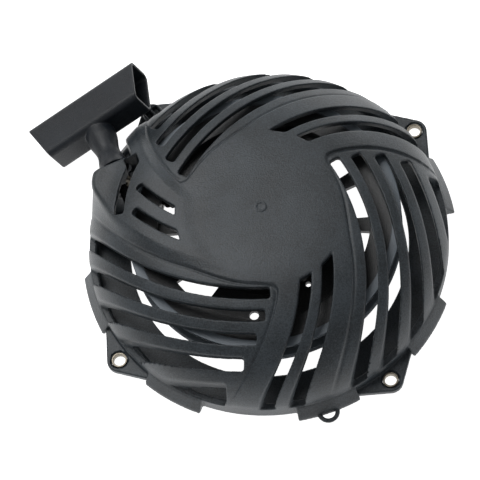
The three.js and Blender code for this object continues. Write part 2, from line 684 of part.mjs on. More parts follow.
// Flat spiral strip; its pitch opens out between the post and the wall of its pocket.
function recoilSpring() {
  const perTurn = 20;
  const steps = SPRING_TURNS * perTurn;
  const outerRadius = SPRING_CASE_RADIUS - SPRING_CLEARANCE;
  const inside = [];
  const outside = [];
  for (let i = 0; i <= steps; i += 1) {
    const spread = outerRadius - SPRING_INNER_RADIUS - SPRING_THICKNESS;
    const radius = SPRING_INNER_RADIUS + spread * (i / steps);
    const angle = (360 * i) / perTurn;
    inside.push(polar(radius, angle));
    outside.push(polar(radius + SPRING_THICKNESS, angle));
  }
  const strip = new THREE.Shape([...outside, ...inside.reverse()]);
  return prism(strip, SPRING_FLOOR + 0.4, SPRING_CASE_TOP - 0.6);
}

function ropeWinding() {
  const inner = GROOVE_RADIUS + GAP;
  const outer = ROPE_LINE_RADIUS + ROPE_RADIUS;
  return ring(inner, outer, GROOVE_LOW + GAP, GROOVE_HIGH - GAP);
}

// The knot that anchors the rope, with its end through the hole in the groove's wall.
function anchorKnot() {
  const ball = new THREE.SphereGeometry(KNOT_RADIUS, 14, 10);
  ball.translate(WINDOW_RING[1] - KNOT_RADIUS - 0.4, 0, KNOT_HEIGHT);
  const tail = new THREE.CylinderGeometry(ROPE_RADIUS, ROPE_RADIUS, 5, 12);
  tail.rotateZ(Math.PI / 2);
  tail.translate(GROOVE_RADIUS - 2.7, 0, KNOT_HEIGHT);
  return turned(toSolid(ball).add(toSolid(tail)), KNOT_ANGLE);
}

// ---- pawls, their springs and the plate that throws them out --------------------------------
// A pawl with its pivot at the origin, its nose trailing along -Y.
function pawl() {
  const outline = new THREE.Shape();
  outline.absarc(0, 0, PAWL_HEAD_RADIUS, 0, Math.PI, false);
  outline.lineTo(PAWL_BACK, -PAWL_PIN_RADIUS);
  outline.lineTo(PAWL_BACK, -PAWL_NOSE + 2);
  outline.lineTo(-1, -PAWL_NOSE);
  outline.lineTo(PAWL_FRONT - 1.2, -PAWL_NOSE + 1);
  outline.lineTo(PAWL_FRONT, -PAWL_NOSE / 2);
  outline.closePath();
  const hole = bar(PAWL_PIN_RADIUS + RUNNING_GAP, PAWL_LOW - 1, PAWL_HIGH + 1, 0, 0, 24);
  return prism(outline, PAWL_LOW, PAWL_HIGH).subtract(hole);
}

// Small wire spring round a pawl's pin, with one leg along the pawl's back.
class PawlSpringCurve extends THREE.Curve {
  getPoint(t) {
    const height = PAWL_HIGH + 1;
    const round = 0.75; // share of the wire that goes round the pin
    const last = Math.PI * 1.8;
    if (t < round) {
      const angle = (t / round) * last;
      return new THREE.Vector3(COIL_RADIUS * Math.cos(angle), COIL_RADIUS * Math.sin(angle), height);
    }
    const along = ((t - round) / (1 - round)) * COIL_LEG;
    const x = COIL_RADIUS * Math.cos(last) - Math.sin(last) * along * 0.3;
    const y = COIL_RADIUS * Math.sin(last) - along;
    return new THREE.Vector3(x, y, height);
  }
}

function pawlSpring() {
  return cord(new PawlSpringCurve(), COIL_WIRE_RADIUS, 3, 16);
}

function pawlPlate() {
  const pieces = [ring(POST_JOURNAL_RADIUS + GAP, PLATE_RADIUS, PLATE_LOW, PLATE_HIGH)];
  for (let i = 0; i < PAWLS; i += 1) {
    const place = polar(PEG_DISTANCE, PAWL_FIRST_ANGLE - PEG_LAG + i * (360 / PAWLS));
    pieces.push(bar(PEG_RADIUS, PLATE_HIGH - 1, PAWL_HIGH - 1, place.x, place.y, 16));
  }
  return join(...pieces);
}

function frictionSpring() {
  const sides = 6;
  const profile = [];
  for (let i = 0; i <= sides; i += 1) {
    const angle = (2 * Math.PI * (i % sides)) / sides;
    const radius = FRICTION_RING_RADIUS + FRICTION_WIRE_RADIUS * Math.cos(angle);
    profile.push([radius, FRICTION_HEIGHT + FRICTION_WIRE_RADIUS * Math.sin(angle)]);
  }
  return lathe(profile, 24);
}

// ---- centre fastening ---------------------------------------------------------------------
function postInsert() {
  const [inner, outer] = INSERT_RADII;
  return ring(inner, outer, POST_END + 0.2, POST_END + INSERT_LENGTH, 24);
}

function centreWasher() {
  const [inner, outer] = WASHER_RADII;
  return ring(inner, outer, POST_END - GAP - WASHER_THICKNESS, POST_END - GAP, 36);
}

function centreScrew() {
  const seat = POST_END - 2 * GAP - WASHER_THICKNESS;
  const flange = bar(SCREW_FLANGE_RADIUS, seat - SCREW_FLANGE_THICKNESS, seat, 0, 0, 24);
  const hexagon = bar(SCREW_HEAD_RADIUS, seat - SCREW_HEAD_HEIGHT, seat - 1, 0, 0, 6);
  const shank = bar(SCREW_SHANK_RADIUS, seat - 1, POST_END + SCREW_SHANK_LENGTH, 0, 0, 24);
  return join(flange, hexagon, shank);
}

// ---- rope and handle ----------------------------------------------------------------------
const plugEnd = -MOUTH_SETBACK - PLUG_LENGTH;

// The rope from just outside the winding to the front of the eyelet.
function ropeLead() {
  const clearOfWinding = ROPE_LINE_RADIUS + 2 * ROPE_RADIUS + 0.4;
  const along = Math.sqrt(clearOfWinding ** 2 - ROPE_LINE_RADIUS ** 2);
  return alongRope(roundSection(ROPE_RADIUS), along - OUTLET_DISTANCE, plugEnd - 0.6, 0, 10);
}

// Handle frame: X along the grip, Y out along the stem, Z up, origin at the mouth of the duct.
const handleTurn = new THREE.Euler(
  radians(HANDLE_DROOP), radians(HANDLE_ROLL), radians(HANDLE_YAW), "ZXY",
);
const gripMiddle = STEM_LENGTH + GRIP_DEPTH / 2;
const gripFloor = STEM_LENGTH + GRIP_WALL;

// A bar of constant section along the grip.
function gripBar(width, height, corner) {
  const long = GRIP_LONG_SIDE + 10;
  const section = roundedRectangle(width, height, corner);
  const geometry = toGeometry(prism(section, -long / 2, long / 2, 5));
  geometry.rotateY(Math.PI / 2);
  geometry.rotateX(Math.PI / 2);
  geometry.translate(0, gripMiddle, 0);
  return toSolid(geometry);
}

// A turned piece along the stem; the profile is (radius, distance from the mouth).
function stemLathe(profile, segments) {
  const points = profile.map(([radius, along]) => new THREE.Vector2(radius, along));
  return toSolid(new THREE.LatheGeometry(points, segments));
}

function grip() {
  const outline = new THREE.Shape();
  const far = STEM_LENGTH + GRIP_DEPTH + 0.5;
  const taper = (GRIP_LONG_SIDE - GRIP_SHORT_SIDE) / 2 / GRIP_DEPTH;
  const near = STEM_LENGTH - 0.5;
  const farHalf = GRIP_LONG_SIDE / 2 + taper * 0.5;
  const nearHalf = GRIP_SHORT_SIDE / 2 - taper * 0.5;
  outline.moveTo(-nearHalf, near);
  outline.lineTo(nearHalf, near);
  outline.lineTo(farHalf, far);
  outline.lineTo(-farHalf, far);
  outline.closePath();
  const sides = prism(outline, -GRIP_HEIGHT, GRIP_HEIGHT);
  const skin = gripBar(GRIP_DEPTH, GRIP_HEIGHT, GRIP_CORNER).intersect(sides);
  const inner = GRIP_CORNER - GRIP_WALL;
  const hollow = gripBar(GRIP_DEPTH - 2 * GRIP_WALL, GRIP_HEIGHT - 2 * GRIP_WALL, inner);
  const stem = stemLathe(
    [
      [0, plugEnd],
      [PLUG_RADIUS, plugEnd],
      [PLUG_RADIUS + 0.3, 0.3 - MOUTH_SETBACK],
      [STEM_MOUTH_RADIUS, 0.6 - MOUTH_SETBACK],
      [STEM_MOUTH_RADIUS - 0.3, 1.5],
      [STEM_WAIST_RADIUS, STEM_WAIST_PLACE - 2],
      [STEM_WAIST_RADIUS, STEM_WAIST_PLACE + 2],
      [STEM_COLLAR_RADIUS, STEM_LENGTH - 4],
      [STEM_COLLAR_RADIUS, STEM_LENGTH + 1],
      [0, STEM_LENGTH + 1],
    ],
    24,
  );
  const bore = STEM_BORE_RADIUS;
  const low = plugEnd - 1;
  const hole = stemLathe([[0, low], [bore, low], [bore, gripFloor + 1], [0, gripFloor + 1]], 20);
  return skin.subtract(hollow).add(stem).subtract(hole);
}

function knotWasher() {
  const low = gripFloor + 0.2;
  const high = low + DISC_THICKNESS;
  const [inner, outer] = DISC_RADII;
  return stemLathe([[inner, low], [outer, low], [outer, high], [inner, high], [inner, low]], 24);
}

const gripKnotCentre = gripFloor + 6;

function gripKnot() {
  const ball = new THREE.SphereGeometry(GRIP_KNOT_RADIUS, 16, 12);
  ball.scale(1.15, 0.9, 1.15);
  ball.translate(0, gripKnotCentre, 0);
  return toSolid(ball);
}

function ropePull() {
  const start = plugEnd + 0.4;
  const end = gripKnotCentre - 4;
  return stemLathe([[0, start], [ROPE_RADIUS, start], [ROPE_RADIUS, end], [0, end]], 12);
}

// ---- assembly -----------------------------------------------------------------------------
const assembly = new THREE.Group();

function addPiece(name, solid, finish, parent = assembly) {
  const material = new THREE.MeshStandardMaterial(FINISH[finish]);
  const piece = new THREE.Mesh(toGeometry(solid), material);
  piece.name = name;
  parent.add(piece);
  return piece;
}

addPiece("cover", cover(), "coverPlastic");
addPiece("post_insert", postInsert(), "brass");
addPiece("rope_eyelet", ropeEyelet(), "zincSteel");
cornerAngles.forEach((angle, index) => {
  const sleeve = addPiece(`ear_sleeve_${index + 1}`, earSleeve(), "zincSteel");
  const place = polar(cornerRadius, angle);
  sleeve.position.set(place.x, place.y, 0);
});
addPiece("centre_screw", centreScrew(), "zincSteel");
addPiece("centre_washer", centreWasher(), "zincSteel");
addPiece("rope_lead", ropeLead(), "rope");

addPiece("pulley", pulley(), "pulleyPlastic");
addPiece("recoil_spring", recoilSpring(), "springSteel");
addPiece("rope_winding", ropeWinding(), "rope");
addPiece("anchor_knot", anchorKnot(), "rope");

for (let i = 0; i < PAWLS; i += 1) {
  const angle = PAWL_FIRST_ANGLE + i * (360 / PAWLS);
  const place = polar(PAWL_PIVOT_RADIUS, angle);
  const seat = new THREE.Group();
  seat.position.set(place.x, place.y, 0);
  seat.rotation.z = radians(angle);
  assembly.add(seat);
  addPiece(`pawl_${i + 1}`, pawl(), "zincSteel", seat);
  addPiece(`pawl_spring_${i + 1}`, pawlSpring(), "springSteel", seat);
}
addPiece("pawl_plate", pawlPlate(), "zincSteel");
addPiece("friction_spring", frictionSpring(), "springSteel");

const handle = new THREE.Group();
handle.position.set(mouth.x, mouth.y, ROPE_HEIGHT);
handle.rotation.copy(handleTurn);
assembly.add(handle);
addPiece("grip", grip(), "gripPlastic", handle);
addPiece("knot_washer", knotWasher(), "zincSteel", handle);
addPiece("grip_knot", gripKnot(), "rope", handle);
addPiece("rope_pull", ropePull(), "rope", handle);

export default assembly;
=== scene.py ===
import math

import bmesh
import bpy
import numpy as np
from mathutils import Matrix, Vector


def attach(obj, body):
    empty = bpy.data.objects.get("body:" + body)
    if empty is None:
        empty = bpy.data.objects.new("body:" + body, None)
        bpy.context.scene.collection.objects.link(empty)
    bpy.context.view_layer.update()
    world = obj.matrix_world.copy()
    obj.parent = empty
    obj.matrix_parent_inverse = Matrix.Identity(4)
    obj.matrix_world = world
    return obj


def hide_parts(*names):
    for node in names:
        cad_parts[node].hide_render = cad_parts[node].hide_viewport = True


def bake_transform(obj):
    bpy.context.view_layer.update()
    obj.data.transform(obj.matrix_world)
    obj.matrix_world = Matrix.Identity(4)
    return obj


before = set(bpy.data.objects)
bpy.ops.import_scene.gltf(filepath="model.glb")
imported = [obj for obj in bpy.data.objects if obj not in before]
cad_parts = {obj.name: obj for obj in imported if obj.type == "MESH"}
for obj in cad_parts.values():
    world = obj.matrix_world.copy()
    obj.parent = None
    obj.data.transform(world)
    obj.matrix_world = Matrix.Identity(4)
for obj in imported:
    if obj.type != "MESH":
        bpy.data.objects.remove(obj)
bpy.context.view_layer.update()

MM = 0.001

# ---- driving dimensions, millimetres ----
COVER_RADIUS = 100.3
COVER_HEIGHT = 55.0
SHOULDER_HEIGHT = 13.0
CROWN_POWER = 3.3
SHOULDER_POWER = 1.6
COVER_WALL = 4.0
BASE_RING_INNER = 78.0
BASE_RING_THICKNESS = 2.5
EDGE_ROUNDING = 0.9

SECTORS = 3
SLOT_CENTRE_DISTANCE = 76.2
SLOT_CENTRE_ANGLE = 216.5
FIRST_SLOT_RADIUS = 121.9
SLOT_PITCH = 11.7
SLOT_WIDTH = 6.1
SLOT_CORNER = 1.6
MAIN_SLOTS = (0, 1, 2, 3, 4)
SIDE_SLOTS = (-2, -3)
SLOT_FLOOR = 10.0
SLOT_INNER_RADIUS = 47.0
SIDE_SLOT_START = 40.0  # inside the plain disc, whose edge cuts these slots off
SLOT_END_RADIUS = 71.3
SHORT_SLOT_REACH = 70.0
SHORT_SLOT_WIDTH = 4.4
DUCT_SECTOR = 2
HANDLE_SECTOR = 1
HANDLE_SIDE_CENTRE = (9.0, 76.9)
HANDLE_SIDE_END_RADIUS = 80.7
ARM_RISE = 3.0
ARM_INNER_RADIUS = 35.0
ARM_OUTER_RADIUS = 85.0
ARM_SLOPE_WIDTH = 6.0
PANEL_DEPTH = 1.0
PANEL_MOAT_DEPTH = 0.5  # narrow groove at the foot of the panel's edge
PANEL_MOAT_WIDTH = 0.8
PANEL_MARGIN = 7.0
PANEL_END_MARGIN = 4.5
PANEL_INNER_RADIUS = 43.0
PANEL_CORNER = 9.0
PANEL_STEP_WIDTH = 0.6

EAR_HOLE_SPACING = 150.0
EAR_RADIUS = 7.0
EAR_THICKNESS = 4.0
EAR_SIDE_ANGLE = 35.6  # degrees between the ear's axis and the normal of its sides
WING_HEIGHT = 9.0
WING_EDGE_HEIGHT = 1.8
WING_PROUD = 5.0
WING_LEDGE = 0.5  # level part of a strip's top, beside the rim
EAR_ROOT = 94.0  # where ears and strips start, inside the rim
STRIP_ROOT = 98.8
SOCKET_EAR_ANGLE = 135
SOCKET_LUG_RADIUS = 5.6
EAR_HALF_ANGLE = 10.5
WING_HALF_ANGLE = 30.0
SLEEVE_OUTER_RADIUS = 4.3
SLEEVE_RECESS_RADIUS = 5.1
SLEEVE_RECESS_DEPTH = 0.8
EAR_ANGLES = (225, 315, 45, 135)

ROPE_RADIUS = 2.25
ROPE_LINE_RADIUS = 65.0
ROPE_HEIGHT = 30.0
OUTLET_ANGLE = 117.0
OUTLET_DISTANCE = 66.0
DUCT_ACROSS = (-22.0, 10.0)
DUCT_ALONG = (-60.0, 6.0)
DUCT_SWEEP_RADIUS = 109.5
DUCT_HIGH = 41.5
DUCT_LOW = 8.0
DUCT_CORNER = 7.5
DUCT_SETBACK = 0.3  # inside the cover's rim
CHANNEL_ACROSS = (-4.5, 4.5)
CHANNEL_UP = (22.5, 37.5)
CHANNEL_START = -50.0
CHANNEL_CORNER = 3.0
ROPE_BORE = 4.0
POCKET_ACROSS = (-22.0, 11.5)
POCKET_FLOOR = 8.0
POCKET_END = 46.0
ABOVE_ALL = 80.0
WALLS_ACROSS = (-22.0, 14.5)
WALLS_ALONG = (-16.0, 26.0)
WALLS_UP = (5.0, 60.0)
WALLS_DEPTH = 1.5  # below the skin
CUP_RADIUS = 8.9
CUP_DEPTH = 8.5
MOUTH_SETBACK = 2.6  # face of the duct behind the origin of the rope frame
EYELET_OUTER = 6.4
EYELET_LENGTH = 4.0
WINDOW_LOW = 24.0
WINDOW_RADII = (76.0, 81.5)
WINDOW_TAIL_ANGLE = 184.0
WINDOW_MOUTH_ACROSS = (5.9, 13.5)
WINDOW_MOUTH_ALONG = (-11.5, -3.5)
LOOP_ANGLE = 294.2
LOOP_RADII = (3.8, 6.2)
LOOP_THICKNESS = 2.5
PIP_RADIUS = 2.6

POST_JOURNAL_RADIUS = 8.0
POST_BOSS_RADIUS = 11.0
POST_BORE = 5.1
POST_BORE_DEPTH = 20.0
POST_END = 10.4
POST_SHOULDER = 34.0
PULLEY_RADIUS = 75.5
GROOVE_RADIUS = 60.5
GROOVE_INSIDE = 58.6
GROOVE_LOW = 25.0
GROOVE_HIGH = 35.0
FLANGE_THICKNESS = 1.6
RIM_INNER = 70.5  # raised rim of the upper flange
RIM_RISE = 0.8
LIP_INNER = 73.5  # turned-down edge of the lower flange
LIP_LOW = 19.4
SPRING_CASE_RADII = (38.5, 40.5)
SPRING_CASE_TOP = 46.5
SPRING_FLOOR = 31.0
WEB_HEIGHTS = (26.0, 29.0)
HUB_RADIUS = 13.0
CARRIER_FACE = 22.0
CARRIER_RADIUS = 38.0
WINDOW_RING = (41.5, 58.2)  # inner and outer radius of the windows in the pulley's web
WINDOW_CENTRES = (350, 20, 50, 170, 200, 230)
WINDOW_SPAN = 21.4
WEB_HOLES = ((53.0, 270.0, 2.6), (42.8, 310.0, 1.5))  # distance, angle, radius
PIN_END = 13.4
PAWL_ANGLES = (30.0, 210.0)
PAWL_PIVOT_RADIUS = 24.0
PAWL_PIN_RADIUS = 3.0
KNOT_ANGLE = 170.0
KNOT_HEIGHT = 31.4
KNOT_DISTANCE = 54.2

HANDLE_YAW = 28.05
HANDLE_DROOP = -12.0
HANDLE_ROLL = -18.5
STEM_LENGTH = 26.0
STEM_GAP = 0.6  # between the stem's foot and the duct
STEM_MOUTH_RADIUS = 8.2
STEM_WAIST_RADIUS = 6.6
STEM_WAIST_PLACE = 10.0
STEM_COLLAR_RADIUS = 8.6
PLUG_RADIUS = 6.1
PLUG_LENGTH = 2.0
STEM_BORE = 2.8
GRIP_DEPTH = 24.8
GRIP_HEIGHT = 19.6
GRIP_LONG_SIDE = 72.8
GRIP_SHORT_SIDE = 60.1
GRIP_CORNER = 4.0
GRIP_WALL = 1.8

# fillets and rounded edges
FINE_EDGE = 0.5
POST_EDGE = 0.6
EDGE = 0.8
GRIP_EDGE = 0.9
GRIP_HOLLOW_EDGE = 0.7
FILLET = 1.0
SLOT_FLOOR_FILLET = 1.2
WIDE_FILLET = 1.5
POST_FILLET = 2.5
DUCT_FILLETS = (4.0, 5.0, 6.0)  # at its end, at the rim, on the crown

FIT_GAP = 0.15  # between a metal part and its seat
DEGREE = math.radians(1.0)
SHARP_ANGLE = 32.0  # degrees between two faces, from which their edge is sharp
ALONG_Y = Matrix.Rotation(-math.pi / 2, 4, "X")  # lays a part that was turned about Z


# ---- distance fields ----
# A field takes points as an (n, 3) array and gives their distance to a surface, negative inside.
def smooth_min(a, b, size):
    """The join of two fields with a fillet of about this size."""
    near = np.clip(0.5 + 0.5 * (b - a) / size, 0.0, 1.0)
    return b + (a - b) * near - size * near * (1.0 - near)


def smooth_max(a, b, size):
    return -smooth_min(-a, -b, size)


def smooth_step(value):
    share = np.clip(value, 0.0, 1.0)
    return share * share * (3.0 - 2.0 * share)


def box_field(x, y, z, across, along, up, corner):
    """A box with rounded edges, given its limits on each axis."""
    gaps = []
    for value, (low, high) in ((x, across), (y, along), (z, up)):
        gaps.append(np.abs(value - (low + high) / 2) - (high - low) / 2 + corner)
    inward = np.minimum(all_of(*gaps), 0.0)
    outward = np.sqrt(sum(np.maximum(gap, 0.0) ** 2 for gap in gaps))
    return inward + outward - corner


def polar(radius, degrees):
    angle = math.radians(degrees)
    return np.array((radius * math.cos(angle), radius * math.sin(angle)))


def radius_of(p):
    return np.hypot(p[:, 0], p[:, 1])


def angle_of(p):
    return np.degrees(np.arctan2(p[:, 1], p[:, 0]))


def away_from(p, centre):
    return np.hypot(p[:, 0] - centre[0], p[:, 1] - centre[1])


def outside(value, low, high):
    """Distance past the slice between two limits, negative inside."""
    return np.maximum(low - value, value - high)


def all_of(*fields):
    """What is inside every one of the fields."""
    return np.maximum.reduce(fields)


def any_of(*fields):
    """What is inside at least one of the fields."""
    return np.minimum.reduce(fields)


def cornered(a, b, corner):
    """Two fields joined at a round outer corner."""
    a, b = a + corner, b + corner
    return np.hypot(np.maximum(a, 0), np.maximum(b, 0)) + np.minimum(np.maximum(a, b), 0) - corner


def spun(p, degrees):
    """The points turned about Z, so that a feature drawn at angle zero stands at this angle."""
    c, s = math.cos(math.radians(degrees)), math.sin(math.radians(degrees))
    return np.column_stack((p[:, 0] * c + p[:, 1] * s, p[:, 1] * c - p[:, 0] * s, p[:, 2]))


def crown_height(share):
    """Height of the plain crown at a share of the cover's radius."""
    fall = np.maximum(1.0 - share**CROWN_POWER, 0.0) ** (1.0 / SHOULDER_POWER)
    return SHOULDER_HEIGHT + (COVER_HEIGHT - SHOULDER_HEIGHT) * fall


class CrownTable:
    """Distance to the cover's outer skin by radius and height, on a fine grid."""

    STEP = 0.25
    LOW, HIGH, WIDE = -12.0, 70.0, 118.0

    def __init__(self):
        share = np.cos(np.linspace(0.0, math.pi / 2, 260))
        curve_r = np.concatenate(((COVER_RADIUS,), COVER_RADIUS * share))
        curve_z = np.concatenate(((self.LOW * 3,), crown_height(share)))
        self.radii = np.arange(0.0, self.WIDE, self.STEP)
        self.heights = np.arange(self.LOW, self.HIGH, self.STEP)
        grid_r, grid_z = np.meshgrid(self.radii, self.heights, indexing="ij")
        best = np.full(grid_r.shape, np.inf)
        for i in range(len(curve_r) - 1):
            dr, dz = curve_r[i + 1] - curve_r[i], curve_z[i + 1] - curve_z[i]
            along = (grid_r - curve_r[i]) * dr + (grid_z - curve_z[i]) * dz
            share = np.clip(along / (dr * dr + dz * dz), 0.0, 1.0)
            gap_r = grid_r - curve_r[i] - share * dr
            gap_z = grid_z - curve_z[i] - share * dz
            best = np.minimum(best, gap_r * gap_r + gap_z * gap_z)
        top = crown_height(np.clip(self.radii / COVER_RADIUS, 0.0, 1.0))
        inside = (grid_z < top[:, None]) & (grid_r < COVER_RADIUS)
        self.values = np.sqrt(best) * np.where(inside, -1.0, 1.0)

    def __call__(self, radius, height):
        last = 1.001  # keeps the next grid line inside the table
        i = np.clip(radius / self.STEP, 0.0, len(self.radii) - last)
        j = np.clip((height - self.LOW) / self.STEP, 0.0, len(self.heights) - last)
        i0, j0 = i.astype(int), j.astype(int)
        u, v = i - i0, j - j0
        low = self.values[i0, j0] * (1 - u) + self.values[i0 + 1, j0] * u
        high = self.values[i0, j0 + 1] * (1 - u) + self.values[i0 + 1, j0 + 1] * u
        return low * (1 - v) + high * v


# ---- meshing a field ----
def gradient(field, p, reach=0.12):
    slopes = []
    for axis in range(3):
        step = np.zeros(3)
        step[axis] = reach
        slopes.append((field(p + step) - field(p - step)) / (2 * reach))
    return np.column_stack(slopes)


def settle(field, p, rounds=2):
    """Points moved onto the field's surface."""
    longest, flattest = 0.8, 0.05
    for _ in range(rounds):
        slope = gradient(field, p)
        square = np.maximum((slope * slope).sum(1), flattest)
        p = p - slope * (np.clip(field(p), -longest, longest) / square)[:, None]
    return p


def sample(field, low, high, pitch):
    """The field on a grid; blocks that the surface doesn't reach are filled from a coarse one."""
    coarse, batch = 4, 6000
    steepest, spare, far = 1.25, 0.6, 9.0
    counts = [int(math.ceil((h - l) / (pitch * coarse))) for l, h in zip(low, high)]
    axes = [l + pitch * coarse * (np.arange(n) + 0.5) for l, n in zip(low, counts)]
    middles = np.stack(np.meshgrid(*axes, indexing="ij"), -1).reshape(-1, 3)
    value = field(middles)
    half_diagonal = pitch * coarse * math.sqrt(3) / 2
    near = np.abs(value) < half_diagonal * steepest + spare
    values = np.where(value < 0, -far, far).reshape(counts)
    for axis in range(3):
        values = np.repeat(values, coarse, axis)
    offsets = np.stack(np.meshgrid(*[np.arange(coarse)] * 3, indexing="ij"), -1).reshape(-1, 3)
    blocks = np.stack(np.unravel_index(np.nonzero(near)[0], counts), -1) * coarse
    for start in range(0, len(blocks), batch):
        index = (blocks[start : start + batch, None, :] + offsets[None]).reshape(-1, 3)
        values[tuple(index.T)] = field(np.array(low) + pitch * (index + 0.5))
    origin = np.array(low) + pitch * 0.5
    return values, origin


CUBE_CORNERS = [(i, j, k) for i in (0, 1) for j in (0, 1) for k in (0, 1)]


def net_points(values, cells):
    """A point in each cell, at the mean of the places where the surface crosses its edges."""
    at = {corner: values[tuple((cells + corner).T)] for corner in CUBE_CORNERS}
    total = np.zeros((len(cells), 3))
    hits = np.zeros(len(cells))
    for a in CUBE_CORNERS:
        for axis in range(3):
            if a[axis]:
                continue
            b = tuple(1 if i == axis else a[i] for i in range(3))
            crossed = (at[a] < 0) != (at[b] < 0)
            place = np.tile(np.array(a, float), (len(cells), 1))
            place[:, axis] = at[a] / np.where(crossed, at[a] - at[b], 1.0)
            total += place * crossed[:, None]
            hits += crossed
    return cells + total / hits[:, None]


def net_faces(inside, number):
    """A face across each grid edge that the surface crosses, from the four cells round it."""
    faces = []
    for axis in range(3):
        u, v = (axis + 1) % 3, (axis + 2) % 3
        step = tuple(slice(1, None) if i == axis else slice(None) for i in range(3))
        back = tuple(slice(None, -1) if i == axis else slice(None) for i in range(3))
        change = inside[step].astype(np.int8) - inside[back].astype(np.int8)
        where = np.argwhere(change != 0)
        keep = np.ones(len(where), bool)
        for i, n in enumerate(number.shape):
            if i != axis:
                keep &= (where[:, i] > 0) & (where[:, i] < n)
        where = where[keep]
        sign = change[tuple(where.T)]
        around = []
        for du, dv in ((-1, -1), (0, -1), (0, 0), (-1, 0)):
            cell = where.copy()
            cell[:, u] += du
            cell[:, v] += dv
            around.append(number[tuple(cell.T)])
        quad = np.column_stack(around)
        quad[sign > 0] = quad[sign > 0][:, ::-1]
        faces.append(quad)
    return np.concatenate(faces)


def relaxed(field, points, faces):
    """The points evened out over the surface."""
    rounds = 3
    ends = np.concatenate([faces[:, (i, (i + 1) % 4)] for i in range(4)])
    a, b = ends[:, 0], ends[:, 1]
    count = len(points)
    degree = np.bincount(a, minlength=count) + np.bincount(b, minlength=count)
    for _ in range(rounds):
        mean = np.empty_like(points)
        for axis in range(3):
            mean[:, axis] = np.bincount(a, points[b, axis], count)
            mean[:, axis] += np.bincount(b, points[a, axis], count)
        mean /= degree[:, None]
        points = settle(field, points + (mean - points) * 0.5, 1)
    return points


def surface_net(field, low, high, pitch):
    """Vertices and four-sided faces on the field's surface."""
    values, origin = sample(field, low, high, pitch)
    inside = values < 0
    nx, ny, nz = (n - 1 for n in values.shape)
    parts = [inside[i : i + nx, j : j + ny, k : k + nz] for i, j, k in CUBE_CORNERS]
    count = sum(part.astype(np.int8) for part in parts)
    cells = np.argwhere((count > 0) & (count < len(CUBE_CORNERS)))
    number = np.full((nx, ny, nz), -1, np.int64)
    number[tuple(cells.T)] = np.arange(len(cells))
    faces = net_faces(inside, number)
    points = settle(field, origin + pitch * net_points(values, cells))
    return relaxed(field, points, faces), faces


def new_object(name, mesh):
    piece = bpy.data.objects.new(name, mesh)
    bpy.context.scene.collection.objects.link(piece)
    return piece


def fielded(name, field, low, high, pitch, keep):
    """A piece from a field: meshed, thinned to a share of its faces, and shaded from the field."""
    points, faces = surface_net(field, low, high, pitch)
    mesh = bpy.data.meshes.new(name)
    mesh.from_pydata(points * MM, [], faces)
    piece = new_object(name, mesh)
    thin = piece.modifiers.new("thin", "DECIMATE")
    thin.ratio = keep
    applied(piece)
    shade_from(field, piece.data)
    return piece


def shade_from(field, mesh):
    """Normals of every face corner from the field, taken a little towards the face's middle."""
    loops, polygons = len(mesh.loops), len(mesh.polygons)
    co = np.empty(len(mesh.vertices) * 3)
    mesh.vertices.foreach_get("co", co)
    co = co.reshape(-1, 3) / MM
    vertex = np.empty(loops, np.int32)
    mesh.loops.foreach_get("vertex_index", vertex)
    sizes = np.empty(polygons, np.int32)
    mesh.polygons.foreach_get("loop_total", sizes)
    owner = np.repeat(np.arange(polygons), sizes)
    middle = np.column_stack([np.bincount(owner, co[vertex, k], polygons) / sizes for k in range(3)])
    inward, reach = 0.06, 0.2
    p = co[vertex] * (1 - inward) + middle[owner] * inward
    normal = gradient(field, p, reach)
    normal /= np.maximum(np.linalg.norm(normal, axis=1), 1e-6)[:, None]
    mesh.shade_smooth()
    mesh.normals_split_custom_set(normal)


# ---- cover ----
crown = CrownTable()
slot_centre = polar(SLOT_CENTRE_DISTANCE, SLOT_CENTRE_ANGLE)
next_centre = polar(SLOT_CENTRE_DISTANCE, SLOT_CENTRE_ANGLE + 360 / SECTORS)
duct_centre = polar(SLOT_CENTRE_DISTANCE, SLOT_CENTRE_ANGLE + 360 / SECTORS * DUCT_SECTOR)
ear_radius_to_hole = EAR_HOLE_SPACING / math.sqrt(2)
rope_along = polar(1.0, OUTLET_ANGLE)
rope_across = polar(1.0, OUTLET_ANGLE - 90)
mouth = rope_along * OUTLET_DISTANCE - rope_across * ROPE_LINE_RADIUS


def crossing_angle(centre, radius, other, other_radius, side):
    """Angle, seen from one circle's centre, of its crossing with another; side picks which one."""
    apart = other - centre
    distance = np.hypot(*apart)
    cosine = (radius**2 + distance**2 - other_radius**2) / (2 * radius * distance)
    return math.atan2(apart[1], apart[0]) + side * math.acos(cosine)


def slot_ends(sector):
    """Centre, in the first sector's place, and radius of the circle that ends its main slots."""
    if sector != HANDLE_SECTOR:
        return next_centre, SLOT_END_RADIUS
    centre = spun(np.array([(*HANDLE_SIDE_CENTRE, 0.0)]), 360 / SECTORS * sector)
    return centre[0, :2], HANDLE_SIDE_END_RADIUS


def slot_field(q, place, width, ends, side, reach):
    """One slot of the first sector: a curved groove with rounded ends, cut straight down."""
    middle = FIRST_SLOT_RADIUS + place * SLOT_PITCH + width / 2
    start = crossing_angle(slot_centre, middle, ends[0], ends[1], side)
    end = crossing_angle(slot_centre, middle, np.zeros(2), reach, -1)
    sweep = (start - end) % (2 * math.pi)
    turn = start - sweep / 2
    c, s = math.cos(turn), math.sin(turn)
    x, y = q[:, 0] - slot_centre[0], q[:, 1] - slot_centre[1]
    angle = np.arctan2(y * c - x * s, x * c + y * s)
    across = np.abs(np.hypot(x, y) - middle) - width / 2
    along = (np.abs(angle) - sweep / 2) * middle
    return smooth_max(cornered(across, along, SLOT_CORNER), SLOT_FLOOR - q[:, 2], SLOT_FLOOR_FILLET)


